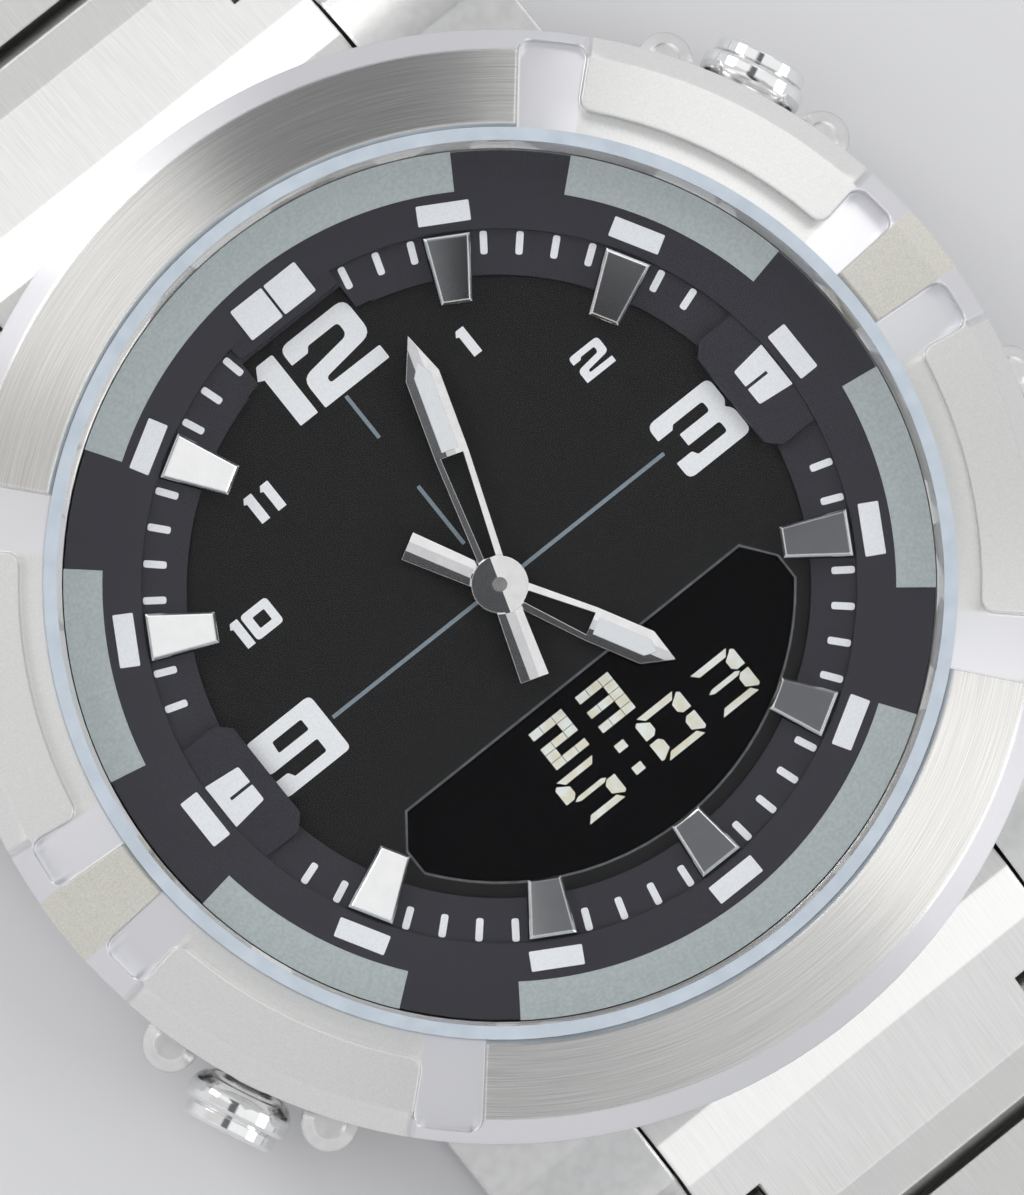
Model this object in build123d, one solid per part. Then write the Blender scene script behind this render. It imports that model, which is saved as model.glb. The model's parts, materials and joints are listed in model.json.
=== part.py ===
from build123d import *
from math import asin, cos, degrees, hypot, pi, radians, sin, sqrt
import os

os.makedirs("parts", exist_ok=True)

# The watch lies dial up with its bracelet laid out flat. The origin is the centre of the case back's
# flat face, X points to 3 o'clock, Y to 12 o'clock and Z out of the dial. All sizes are millimetres.

# Fits and clearances
running_gap = 0.04
assembly_gap = 0.1
pocket_gap = 0.3
cut_overrun = 1.0

# Bracelet
link_pitch = 9.4
link_thickness = 3.2
link_half_width = 10.0
link_arm = 3.05
link_bevel = 0.3
link_pin_radius = 0.5
link_pin_inset = 0.15
knuckle_radius = 2.35
knuckle_gap = 0.15
links_at_12 = 5
links_at_6 = 6
free_ear_gap = 0.15
free_ear_depth = 1.95
hinge_z = link_thickness / 2
tongue_half_width = link_half_width - link_arm
face_distance = knuckle_radius + knuckle_gap

# Case middle with its lugs
case_radius = 22.9
case_wall = 6.9
case_floor = 0.5
case_turn_height = 3.2
case_turn_in = 2.3
case_bow = 0.6
lug_width = 6.55
lug_taper = 0.9
lug_tip_low = 0.3
lug_tip_high = 3.9
lug_tip_length = 1.6
lug_sole_length = 4.2
lug_bite = 0.7
lug_shoulder_inset = 2.5
lug_crease_inset = 1.6
lug_crease_drop = 1.5
lug_bow = 0.2
slot_gap = 0.15
cavity_radius = case_radius - case_wall
case_sole_radius = case_radius - case_turn_in

# Spring bars and end links
spring_bar_reach = 1.2
spring_bar_z = 2.2
spring_bar_radius = 0.75
spring_bar_tip_radius = 0.4
spring_bar_tip = 1.1
end_link_inset = 0.5
end_link_lip = 0.85
end_link_drop = 0.75
end_link_start = 0.4
end_link_ridge_inset = 1.0
end_link_ridge_drop = 1.7
end_link_low = 0.35
end_link_heel = 2.3
spring_bar_y = case_radius + spring_bar_reach
lug_tip_y = spring_bar_y + lug_tip_length
first_hinge_y = lug_tip_y + end_link_lip + face_distance
end_link_half = link_half_width - end_link_inset
slot_half_width = end_link_half + slot_gap
lug_half_span = slot_half_width + lug_width
lug_root_y = sqrt(case_radius**2 - lug_half_span**2) - lug_bite
lug_shoulder_y = case_radius - lug_shoulder_inset
lug_crease_y = lug_tip_y - lug_crease_inset

# Case back with its gasket and screws
back_thickness = 1.2
back_inset = 4.3
back_edge_bevel = 0.35
back_gasket_inset = 0.35
back_gasket_width = 0.5
back_gasket_height = 0.5
back_screw_inset = 0.9
back_screw_angle = 45
back_screw_head_radius = 0.62
back_screw_head_height = 0.7
back_screw_radius = 0.4
back_screw_length = 2.4
back_screw_slot = 0.2
back_screw_count = 4
back_radius = case_radius - back_inset
back_gasket_inner = cavity_radius + back_gasket_inset
back_screw_circle = back_radius - back_screw_inset

# Movement, stacked up from the case back to the dial
buzzer_radius = 7.5
buzzer_thickness = 0.25
buzzer_room = 0.2
clip_plate = 0.2
clip_width = 5.0
battery_share = 0.637
battery_height = 2.5
battery_rim = 0.4
battery_neck_share = 0.8
battery_wall = 0.8
board_thickness = 0.5
board_inset = 0.4
frame_roof = 0.3
bridge_thickness = 0.25
train_height = 2.96
dial_sink = 0.05
dial_thickness = 0.4
frame_radius = cavity_radius - pocket_gap
base_low = back_thickness + buzzer_thickness + buzzer_room + clip_plate
battery_low = base_low + assembly_gap
board_low = battery_low + battery_height + running_gap
board_top = board_low + board_thickness
dial_seat = board_top + train_height
dial_top = dial_seat + dial_thickness
case_top = dial_seat + dial_sink
lug_crease_z = case_top - lug_crease_drop
frame_roof_low = dial_seat - frame_roof
battery_radius = battery_share * frame_radius
battery_x = frame_radius - battery_wall - battery_radius

# Gear train; each level is a depth below the dial's seat.
arbor_radius = 0.3
pivot_radius = 0.15
gear_face = 0.22
train_module = 0.09
rotor_module = 0.075
motion_module = 0.1
addendum_share = 0.85
dedendum_share = 1.15
tooth_tip_share = 0.14
tooth_root_share = 0.3
centre_teeth = 60
pinion_teeth = 6
intermediate_teeth = 54
cannon_teeth = 12
minute_wheel_teeth = 36
minute_pinion_teeth = 10
hour_wheel_teeth = 40
intermediate_angle = 120
rotor_angle = 150
minute_wheel_angle = 30
rotor_magnet_radius = 0.8
rotor_magnet_height = 0.4
rotor_pinion_length = 0.33
rotor_pinion_depth = 2.13
intermediate_depth = 2.1
centre_wheel_depth = 1.6
cannon_depth = 1.0
hour_wheel_depth = 0.7
hour_pipe_radius = 0.75
hour_pipe_bore = 0.5
minute_arbor_radius = 0.45
rotor_pinion_low = dial_seat - rotor_pinion_depth
intermediate_low = dial_seat - intermediate_depth
centre_wheel_low = dial_seat - centre_wheel_depth
cannon_low = dial_seat - cannon_depth
hour_wheel_low = dial_seat - hour_wheel_depth

# Motor
stator_thickness = 0.4
stator_half_width = 1.6
coil_radius = 0.95
coil_flange = 1.3
coil_place_share = 0.61
coil_core_share = 0.312
motor_low = board_top + bridge_thickness + assembly_gap
coil_y = coil_place_share * frame_radius
coil_core_half = coil_core_share * frame_radius
coil_half_length = coil_core_half - coil_flange

# Bezel
bezel_overhang = 0.45
bezel_width = 4.35
bezel_ledge = 0.9
bezel_ledge_rise = 2.0
bezel_ledge_depth = 0.8
bezel_rise = 1.65
bezel_fall = 0.45
bezel_bevel = 1.0
bezel_bevel_fall = 1.2
bezel_rim = 1.5
bezel_lip = 0.2
arc_end_angle = 40.5
step_end_angle = 48
plate_end_angle = 80.4
notch_end_angle = 86.2
recess_drop = 0.45
recess_fall = 1.15
recess_band = 1.05
recess_corner = 0.55
step_rim = 0.5
notch_rim = 0.95
nick_side = 0.26
bezel_radius = case_radius + bezel_overhang
bezel_bore = bezel_radius - bezel_width
bezel_ledge_radius = bezel_bore - bezel_ledge
bezel_shelf_radius = bezel_radius - bezel_bevel
bezel_ledge_top = case_top + bezel_ledge_rise
bezel_top_inner = bezel_ledge_top + bezel_rise
bezel_top_outer = bezel_top_inner - bezel_fall
bezel_rim_high = bezel_top_outer - bezel_bevel_fall
bezel_rim_low = bezel_rim_high - bezel_rim

# Crystal and its gasket
crystal_thickness = 2.4
crystal_gasket_width = 0.55
crystal_gasket_rise = 0.1
crystal_bevel_width = 0.8
crystal_bevel_drop = 0.62
crystal_radius = bezel_bore - crystal_gasket_width
crystal_gasket_top = bezel_top_inner + crystal_gasket_rise
crystal_low = bezel_ledge_top
crystal_top = crystal_low + crystal_thickness

# Chapter ring, applied markers and the dial's window
ring_width = 4.9
ring_step_width = 3.0
ring_tier = 0.25
ring_rim_drop = 0.05
ring_notch_half = 3.3
ring_notch_depth = 0.9
pad_reach = 0.65
pad_half = 2.8
pad_corner = 0.55
pad_rise = 0.65
window_inset = 0.7
window_side_share = 0.8
window_top_share = 0.403
window_corner = 1.0
window_corner_drop = 1.3
marker_reach = 1.15
marker_gap = 0.15
marker_half_inner = 0.66
marker_half_outer = 1.0
marker_height = 0.95
marker_bevel = 0.11
marker_angles = (30, 60, 120, 240, 300, 330)
short_marker_angles = (150, 180, 210)
short_marker_cut = 0.45
dial_radius = cavity_radius - assembly_gap
ring_outer = bezel_ledge_radius - assembly_gap
ring_inner = ring_outer - ring_width
ring_step_radius = ring_outer - ring_step_width
ring_lip_top = dial_top + ring_tier
ring_tier_top = ring_lip_top + ring_tier
ring_step_top = ring_tier_top + ring_tier
ring_rim_top = bezel_ledge_top - ring_rim_drop
pad_inner = ring_inner - pad_reach
marker_inner = ring_inner - marker_reach
marker_outer = ring_step_radius - marker_gap
window_bottom_radius = ring_inner - window_inset
window_half = window_side_share * window_bottom_radius
window_top_y = -window_top_share * window_bottom_radius

# Display, its connectors and the dial's lamp
display_margin = 0.7
display_wall = 0.8
display_thickness = 0.95
connector_depth = 0.8
connector_half_share = 0.53
connector_place_share = 0.8
lamp_length = 1.6
lamp_width = 0.8
lamp_height = 0.6
lamp_gap = 1.3
display_radius = frame_radius - display_wall
display_half = window_half + display_margin
display_top_y = window_top_y + display_margin
display_low = dial_seat - display_thickness
connector_half = connector_half_share * display_radius
connector_low_y = -connector_place_share * display_radius
lamp_x = display_half + lamp_gap
lamp_y = display_top_y + pocket_gap

# Hands, set to 5:03
hour_angle = 151.5
minute_angle = 18.3
hour_share = 0.72
hand_gap = 0.17
hand_rise = 0.4
hand_clearance = 2.0
hand_tail = 4.2
hub_radius = 1.2
hand_thickness = 0.28
hand_edge = 0.1
hand_half_width = 0.74
hand_neck_half = 0.5
hand_tail_half = 0.62
rail_width = 0.24
shoulder_share = 0.52
tip_start_share = 0.84
lume_tip_share = 0.33
lume_half = 0.36
lume_rise = 0.02
minute_reach = ring_inner - hand_clearance
hour_reach = hour_share * minute_reach
hour_hand_low = dial_top + hand_rise
minute_hand_low = hour_hand_low + hand_thickness + hand_gap

# Push buttons and their guards
button_angle = 24.8
button_drop = 3.1
guard_radius = 1.2
guard_reach = 0.7
guard_gap = 0.18
guard_half_height = 2.4
guard_bevel = 0.55
stem_radius = 0.6
stem_reach = 0.8
neck_radius = 1.2
neck_inset = 0.3
counterbore_depth = 2.4
head_radius = 2.35
head_stand = 0.4
head_tier = 1.58
head_back_round = 1.1
head_groove_radius = 1.8
head_groove = 0.12
head_sink = 0.35
cap_inset = 0.28
cap_height = 0.6
cap_bevel = 0.15
clip_radius = 1.1
clip_inset = 0.3
clip_thickness = 0.3
button_gasket_radius = 1.1
button_gasket_inset = 1.5
button_gasket_length = 0.6
button_travel = 0.6
button_spring_wire = 0.12
button_spring_turns = 3
button_z = case_top - button_drop
guard_circle = case_radius + guard_reach
guard_angle = degrees(asin((head_radius + guard_radius + guard_gap) / guard_circle))
stem_tip = cavity_radius - stem_reach
clip_start = stem_tip + clip_inset
button_gasket_start = cavity_radius + button_gasket_inset
counterbore_floor = case_radius - counterbore_depth
neck_start = case_radius - neck_inset
head_start = case_radius + head_stand
cap_start = head_start + head_tier + head_groove
cap_end = cap_start + cap_height
counterbore_radius = neck_radius + assembly_gap
button_spring_radius = neck_radius - button_spring_wire - pocket_gap / 2

# Folding clasp
cover_length = 36.0
cover_plate = 1.0
cover_wall = 1.3
cover_ear_length = 5.2
fork_wall = 1.35
blade_shoulder = 2.6
blade_thickness = 0.7
blade_hinge_radius = 0.9
blade_hinge_gap = 0.2
blade_pin_radius = 0.4
blade_notch = 1.25
far_hinge_inset = 1.7
near_hinge_inset = 6.0
near_hinge_fall = 0.75
inner_blade_low = 0.15
boss_gap = 0.9
boss_bore_radius = 0.8
release_inset = 10.5
release_rise = 0.15
release_step = 0.25
release_collar = 0.6
release_proud = 0.8
release_bevel = 0.22
release_spring_wire = 0.12
release_spring_inset = 0.3
release_spring_turns = 2
bracket_thickness = 0.4
bracket_half = 1.4
bracket_gap = 0.3
blade_half = tongue_half_width - fork_wall
blade_hinge_half = blade_half - blade_shoulder
boss_radius = hinge_z
clasp_y = first_hinge_y + links_at_12 * link_pitch
cover_end = clasp_y + cover_length
far_hinge_y = cover_end - far_hinge_inset
far_hinge_z = link_thickness - blade_hinge_radius - blade_hinge_gap
near_hinge_y = clasp_y + near_hinge_inset
near_hinge_z = far_hinge_z - near_hinge_fall
boss_y = cover_end + boss_gap + boss_radius
release_y = clasp_y + release_inset
release_z = hinge_z + release_rise
release_collar_radius = link_thickness - release_z - assembly_gap
release_radius = release_collar_radius - release_step
release_seat = link_half_width - cover_wall - assembly_gap / 2
release_spring_radius = release_radius - release_spring_inset

rise = (Align.CENTER, Align.CENTER, Align.MIN)


def disc(radius, low, high, x=0, y=0):
    return Pos(x, y, low) * Cylinder(radius, high - low, align=rise)


def ring(outer, inner, low, high, x=0, y=0):
    bore = disc(inner, low - cut_overrun, high + cut_overrun, x, y)
    return disc(outer, low, high, x, y) - bore


def block(x_low, x_high, y_low, y_high, z_low, z_high):
    size = (x_high - x_low, y_high - y_low, z_high - z_low)
    return Pos(x_low, y_low, z_low) * Box(*size, align=(Align.MIN,) * 3)


def outline(points):
    return make_face(Polyline(*points, close=True))


def prism(points, low, high):
    return Pos(0, 0, low) * extrude(outline(points), high - low)


def turned(points):
    # Points are (radius, height); the outline is turned about Z.
    return revolve(Plane.XZ * outline(points), Axis.Z)


def crossways(profile, x_low, x_high):
    # The profile is drawn in (y, z) and runs from x_low to x_high.
    return extrude(Plane.YZ.offset(x_low) * profile, x_high - x_low)


def rod(radius, x_low, x_high, y, z):
    profile = Pos(y, z) * Circle(radius)
    return crossways(profile, x_low, x_high)


def on_button_axis(angle):
    direction = (cos(radians(angle)), sin(radians(angle)), 0)
    return Plane(origin=(0, 0, button_z), x_dir=(0, 0, 1), z_dir=direction)


def polar(angle, radius):
    # Clock angles run from 12 o'clock towards 3 o'clock.
    return radius * sin(radians(angle)), radius * cos(radians(angle))


def button_angles():
    return (button_angle, -button_angle, 180 - button_angle, 180 + button_angle)


def four_ways(solid):
    # A feature drawn in one quadrant is mirrored into all four.
    half = [solid, mirror(solid, Plane.YZ)]
    return half + [mirror(piece, Plane.XZ) for piece in half]


def coil(radius, wire, length, turns):
    # One unbroken wire; its ends stay half a wire inside the length.
    pitch = (length - 2 * wire) / turns
    path = Pos(0, 0, wire) * Helix(pitch, pitch * turns, radius)
    start = Plane(origin=path @ 0, z_dir=path % 0)
    return sweep(start * Circle(wire), path=path, is_frenet=True)


def gear(teeth, module, low, high):
    # Watch-train gear with straight-sided teeth, slightly thinned so that it runs free.
    pitch_radius = teeth * module / 2
    tip = pitch_radius + addendum_share * module
    root = pitch_radius - dedendum_share * module
    levels = ((root, -tooth_root_share), (tip, -tooth_tip_share), (tip, tooth_tip_share),
              (root, tooth_root_share))
    points = []
    for tooth in range(teeth):
        for radius, turn in levels:
            angle = 2 * pi * (tooth + turn) / teeth
            points.append((radius * cos(angle), radius * sin(angle)))
    return prism(points, low, high)


def meshed(driver_teeth, driven_teeth, direction):
    # The turn, in degrees, that puts a gap of the driven gear opposite a tooth of the driver.
    driver_phase = direction * driver_teeth / 360
    return direction + 180 + (driver_phase % 1 + 1 / 2) * 360 / driven_teeth


def case_middle():
    # Turned ring with a rounded underside
    outer = Polyline(
        (cavity_radius, back_thickness),
        (back_radius + running_gap, back_thickness),
        (back_radius + running_gap, case_floor),
        (case_sole_radius, case_floor),
    )
    bow = SagittaArc((case_sole_radius, case_floor), (case_radius, case_turn_height), -case_bow)
    inner = Polyline(
        (case_radius, case_turn_height),
        (case_radius, case_top),
        (cavity_radius, case_top),
        (cavity_radius, back_thickness),
    )
    body = revolve(Plane.XZ * make_face(outer + bow + inner), Axis.Z)
    for side in (1, -1):
        body += lug_pair(side)
    for angle in button_angles():
        for turn in (-guard_angle, guard_angle):
            body += button_guard(angle + turn)
    for angle in button_angles():
        body -= button_bore(angle)
    body -= back_gasket()
    for angle in back_screw_angles():
        x, y = screw_place(angle)
        body -= disc(back_screw_radius, 0, back_screw_length + back_screw_head_height, x, y)
    for side in (1, -1):
        for x_side in (1, -1):
            start = slot_half_width - cut_overrun
            reach = slot_half_width + spring_bar_tip + assembly_gap
            low, high = sorted((x_side * start, x_side * reach))
            hole = rod(spring_bar_tip_radius + running_gap, low, high, side * spring_bar_y, spring_bar_z)
            body -= hole
    return body


def lug_pair(side):
    lower = Polyline(
        (lug_root_y, case_floor),
        (lug_tip_y - lug_sole_length, case_floor),
        (lug_tip_y, lug_tip_low),
        (lug_tip_y, lug_tip_high),
    )
    fall = Line((lug_tip_y, lug_tip_high), (lug_crease_y, lug_crease_z))
    upper = fall + SagittaArc((lug_crease_y, lug_crease_z), (lug_shoulder_y, case_top), -lug_bow)
    back = Polyline((lug_shoulder_y, case_top), (lug_root_y, case_top), (lug_root_y, case_floor))
    lugs = crossways(make_face(lower + upper + back), -lug_half_span, lug_half_span)
    lug_tip_half_span = lug_half_span - lug_taper
    plan = (
        (lug_half_span, lug_root_y),
        (lug_half_span, lug_shoulder_y),
        (lug_tip_half_span, lug_tip_y),
        (-lug_tip_half_span, lug_tip_y),
        (-lug_half_span, lug_shoulder_y),
        (-lug_half_span, lug_root_y),
    )
    lugs &= prism(plan, 0, case_top)
    slot = block(
        -slot_half_width, slot_half_width, 0, lug_tip_y + cut_overrun, -cut_overrun, case_top + cut_overrun
    )
    lugs -= slot - disc(case_radius, -cut_overrun, case_top + cut_overrun)
    lugs -= disc(case_sole_radius, -cut_overrun, case_top + cut_overrun)
    return lugs if side > 0 else Rot(0, 0, 180) * lugs


def button_guard(angle):
    # Rounded bump beside a button, blended into the case by a short bridge
    low, high = button_z - guard_half_height, button_z + guard_half_height
    bump = disc(guard_radius, low, high)
    rims = bump.edges().filter_by(GeomType.CIRCLE)
    bump = chamfer(rims, guard_bevel)
    reach = 2 * guard_radius
    bump += block(-reach, 0, -guard_radius, guard_radius, low + guard_bevel, high - guard_bevel)
    x, y = guard_circle * cos(radians(angle)), guard_circle * sin(radians(angle))
    return Pos(x, y, 0) * Rot(0, 0, angle) * bump


def button_bore(angle):
    hole = Cylinder(stem_radius + running_gap, case_radius, align=rise)
    sink = Pos(0, 0, counterbore_floor) * Cylinder(counterbore_radius, case_radius, align=rise)
    groove = Cylinder(button_gasket_radius, button_gasket_length, align=rise)
    dish = Pos(0, 0, case_radius - head_sink) * Cylinder(head_radius + assembly_gap, case_radius, align=rise)
    return on_button_axis(angle) * (hole + sink + dish + Pos(0, 0, button_gasket_start) * groove)


def button(angle):
    # Cap, groove and skirt of the head, then the neck, the stem and its retaining clip
    cap_radius = head_radius - cap_inset
    profile = (
        (0, stem_tip),
        (stem_radius, stem_tip),
        (stem_radius, neck_start),
        (neck_radius, neck_start),
        (neck_radius, head_start),
        (head_radius, head_start),
        (head_radius, head_start + head_tier - cap_bevel),
        (head_radius - cap_bevel, head_start + head_tier),
        (head_groove_radius, head_start + head_tier),
        (head_groove_radius, cap_start),
        (cap_radius, cap_start),
        (cap_radius, cap_end - cap_bevel),
        (cap_radius - cap_bevel, cap_end),
        (0, cap_end),
    )
    shaft = turned(profile)
    rims = shaft.edges().filter_by(GeomType.CIRCLE)
    back = [edge for edge in rims if abs(edge.center().Z - head_start) < running_gap]
    shaft = fillet([edge for edge in back if edge.radius > neck_radius + running_gap], head_back_round)
    clip = ring(clip_radius, stem_radius, clip_start, clip_start + clip_thickness)
    return on_button_axis(angle) * Compound([*shaft.solids(), *clip.solids()])


def button_spring(angle):
    length = neck_start - counterbore_floor
    wire = coil(button_spring_radius, button_spring_wire, length, button_spring_turns)
    return on_button_axis(angle) * Pos(0, 0, counterbore_floor) * wire


def button_gaskets():
    rings = []
    for angle in button_angles():
        seal = ring(button_gasket_radius, stem_radius + running_gap, button_gasket_start,
                    button_gasket_start + button_gasket_length)
        rings += (on_button_axis(angle) * seal).solids()
    return Compound(rings)


def back_screw_angles():
    step = 360 / back_screw_count
    return [back_screw_angle + step * index for index in range(back_screw_count)]


def screw_place(angle):
    return back_screw_circle * cos(radians(angle)), back_screw_circle * sin(radians(angle))


def back_gasket():
    outer = back_gasket_inner + back_gasket_width
    return ring(outer, back_gasket_inner, back_thickness, back_thickness + back_gasket_height)


def case_back():
    profile = (
        (0, 0),
        (back_radius - back_edge_bevel, 0),
        (back_radius, back_edge_bevel),
        (back_radius, back_thickness),
        (0, back_thickness),
    )
    back = turned(profile)
    for angle in back_screw_angles():
        x, y = screw_place(angle)
        back -= disc(back_screw_head_radius + running_gap, -cut_overrun, back_screw_head_height, x, y)
        back -= disc(back_screw_radius + running_gap, 0, back_thickness + cut_overrun, x, y)
    return back


def case_back_screws():
    screws = []
    for angle in back_screw_angles():
        x, y = screw_place(angle)
        sunk = back_screw_slot / 2
        screw = disc(back_screw_head_radius, sunk, back_screw_head_height, x, y)
        screw += disc(back_screw_radius, sunk, back_screw_length, x, y)
        arm, half = back_screw_head_radius, back_screw_slot / 2
        cross = block(-arm, arm, -half, half, 0, sunk + back_screw_slot)
        cross += block(-half, half, -arm, arm, 0, sunk + back_screw_slot)
        screw -= Pos(x, y, 0) * Rot(0, 0, angle) * cross
        screws += screw.solids()
    return Compound(screws)


def bezel():
    profile = (
        (bezel_ledge_radius, bezel_ledge_top - bezel_ledge_depth),
        (bezel_ledge_radius, bezel_ledge_top),
        (bezel_bore, bezel_ledge_top),
        (bezel_bore, bezel_top_inner - bezel_lip),
        (bezel_bore + bezel_lip, bezel_top_inner),
        (bezel_shelf_radius, bezel_top_outer),
        (bezel_radius, bezel_rim_high),
        (bezel_radius, bezel_rim_low),
        (case_radius, case_top),
        (bezel_bore, case_top),
        (bezel_bore, bezel_ledge_top - bezel_ledge_depth),
    )
    body = turned(profile)
    for cutter in four_ways(bezel_recess()):
        body -= cutter
    for angle in (step_end_angle, plate_end_angle):
        for cutter in four_ways(rim_nick(angle)):
            body -= cutter
    return body


def sector_plan(start, end, outer):
    # Part of a flat ring between two clock angles, from inside the bezel's bore outwards
    reach = 2 * outer
    wedge = outline(((0, 0), polar(start, reach), polar(end, reach)))
    return (Circle(outer) - Circle(bezel_ledge_radius)) & wedge


def bezel_recess():
    # The low polished floor of one quadrant: a band beside the glass with a pocket at each end, so
    # that the side plate stands between them as an island
    plan = sector_plan(arc_end_angle, notch_end_angle, bezel_bore + recess_band)
    plan += sector_plan(arc_end_angle, step_end_angle, bezel_radius - step_rim)
    plan += sector_plan(plate_end_angle, notch_end_angle, bezel_radius - notch_rim)
    corners = [corner for corner in plan.vertices() if hypot(corner.X, corner.Y) > bezel_bore]
    plan = fillet(corners, recess_corner)
    sky = bezel_top_inner + cut_overrun
    level = bezel_top_inner - recess_drop
    above_floor = turned(((0, level), (bezel_bore, level), (bezel_radius, level - recess_fall),
                          (bezel_radius, sky), (0, sky)))
    return extrude(plan, sky) & above_floor


def rim_nick(angle):
    # Small V groove that runs down the outer bevel
    path = Line((*polar(angle, bezel_shelf_radius), bezel_top_outer),
                (*polar(angle, bezel_radius), bezel_rim_high))
    across = (*polar(angle + 90, 1), 0)
    v_shape = Rot(0, 0, 45) * Rectangle(nick_side, nick_side)
    return extrude(Plane(origin=path @ 0, x_dir=across, z_dir=path % 0) * v_shape, 2 * path.length)


def crystal():
    bevel_start = crystal_radius - crystal_bevel_width
    profile = (
        (0, crystal_low),
        (crystal_radius, crystal_low),
        (crystal_radius, crystal_top - crystal_bevel_drop),
        (bevel_start, crystal_top),
        (0, crystal_top),
    )
    return turned(profile)


def crystal_gasket():
    return ring(bezel_bore, crystal_radius, crystal_low, crystal_gasket_top)


def marker_plan(angle, growth=0):
    # Trapezoid that widens outwards, drawn for 12 o'clock and turned to its hour
    corners = (
        (-marker_half_inner - growth, marker_inner - growth),
        (marker_half_inner + growth, marker_inner - growth),
        (marker_half_outer + growth, marker_outer + growth),
        (-marker_half_outer - growth, marker_outer + growth),
    )
    return Rot(0, 0, -angle) * outline(corners)


def hour_markers():
    # The ones at the display window are cut short by its round edge
    markers = []
    for angle in marker_angles + short_marker_angles:
        bar = Pos(0, 0, dial_top) * extrude(marker_plan(angle), marker_height)
        if angle in short_marker_angles:
            bar -= disc(marker_inner + short_marker_cut, 0, crystal_low)
        rim = bar.faces().sort_by(Axis.Z)[-1].edges()
        markers += chamfer(rim, marker_bevel).solids()
    return Compound(markers)


def chapter_ring():
    profile = (
        (ring_inner, dial_top),
        (ring_inner, ring_lip_top),
        (ring_step_radius, ring_tier_top),
        (ring_step_radius, ring_step_top),
        (ring_outer, ring_rim_top),
        (ring_outer, case_top),
        (cavity_radius + running_gap, case_top),
        (cavity_radius + running_gap, dial_top),
    )
    body = turned(profile)
    for side in (1, -1):
        pad = (
            (side * ring_step_radius, -pad_half),
            (side * (pad_inner + pad_corner), -pad_half),
            (side * pad_inner, -pad_half + pad_corner),
            (side * pad_inner, pad_half - pad_corner),
            (side * (pad_inner + pad_corner), pad_half),
            (side * ring_step_radius, pad_half),
        )
        body += prism(pad, dial_top, dial_top + pad_rise)
    notch_y = ring_inner + ring_notch_depth
    body -= block(-ring_notch_half, ring_notch_half, 0, notch_y, 0, ring_rim_top)
    for angle in marker_angles + short_marker_angles:
        cutter = extrude(marker_plan(angle, running_gap), marker_height + cut_overrun)
        body -= Pos(0, 0, dial_top - cut_overrun) * cutter
    return body


def window_outline():
    # Flat top with two cut corners, sides, and a round bottom along the dial's edge
    side_y = window_top_y - window_corner_drop
    shelf_y = -sqrt(window_bottom_radius**2 - window_half**2)
    upper = Polyline(
        (window_half, shelf_y),
        (window_half, side_y),
        (window_half - window_corner, window_top_y),
        (window_corner - window_half, window_top_y),
        (-window_half, side_y),
        (-window_half, shelf_y),
    )
    lower = ThreePointArc((-window_half, shelf_y), (0, -window_bottom_radius), (window_half, shelf_y))
    return make_face(upper + lower)


def dial():
    plate = disc(dial_radius, dial_seat, dial_top)
    plate -= disc(hour_pipe_radius + 2 * assembly_gap, 0, dial_top + cut_overrun)
    plate -= Pos(0, 0, dial_seat - cut_overrun) * extrude(window_outline(), dial_thickness + 2 * cut_overrun)
    return plate


def display_plan(growth=0):
    lower = outline(
        (
            (-display_half - growth, display_top_y + growth),
            (display_half + growth, display_top_y + growth),
            (display_half + growth, -display_radius),
            (-display_half - growth, -display_radius),
        )
    )
    return lower & Circle(display_radius - assembly_gap * 2 + growth)


def lcd_panel():
    return Pos(0, 0, display_low) * extrude(display_plan(), display_thickness)


def lcd_connectors():
    # Two rubber strips that join the glass to the board
    strips = []
    for y in (display_top_y - 2 * connector_depth, connector_low_y):
        strips += block(-connector_half, connector_half, y, y + connector_depth, board_top,
                        display_low).solids()
    return Compound(strips)


def dial_lamp():
    return block(lamp_x, lamp_x + lamp_length, lamp_y, lamp_y + lamp_width, board_top,
                 board_top + lamp_height)


def train_places():
    # Centres of the intermediate wheel, the rotor and the minute wheel
    first = train_module * (centre_teeth + pinion_teeth) / 2
    second = rotor_module * (intermediate_teeth + pinion_teeth) / 2
    third = motion_module * (cannon_teeth + minute_wheel_teeth) / 2
    inter = (first * cos(radians(intermediate_angle)), first * sin(radians(intermediate_angle)))
    turn = radians(rotor_angle)
    rotor = (inter[0] + second * cos(turn), inter[1] + second * sin(turn))
    turn = radians(minute_wheel_angle)
    return inter, rotor, (third * cos(turn), third * sin(turn))


def second_motion_module():
    # The hour wheel and its pinion share the centre distance of the first motion pair.
    teeth = minute_pinion_teeth + hour_wheel_teeth
    return motion_module * (cannon_teeth + minute_wheel_teeth) / teeth


def centre_arbor():
    arbor = disc(pivot_radius, board_top, centre_wheel_low)
    arbor += disc(minute_arbor_radius, centre_wheel_low, cannon_low + gear_face)
    arbor += disc(hour_pipe_bore - running_gap, cannon_low + gear_face, minute_hand_low)
    arbor += disc(arbor_radius, minute_hand_low, minute_hand_low + hand_thickness + hand_edge)
    arbor += gear(centre_teeth, train_module, centre_wheel_low, centre_wheel_low + gear_face)
    return arbor + gear(cannon_teeth, motion_module, cannon_low, cannon_low + gear_face)


def intermediate_wheel():
    x, y = train_places()[0]
    turn = meshed(centre_teeth, pinion_teeth, intermediate_angle)
    pinion = gear(pinion_teeth, train_module, intermediate_low, centre_wheel_low + gear_face)
    wheel = gear(intermediate_teeth, rotor_module, intermediate_low, intermediate_low + gear_face)
    body = Rot(0, 0, turn) * (pinion + wheel) + disc(pivot_radius, board_top, frame_roof_low)
    return Pos(x, y, 0) * body


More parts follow.
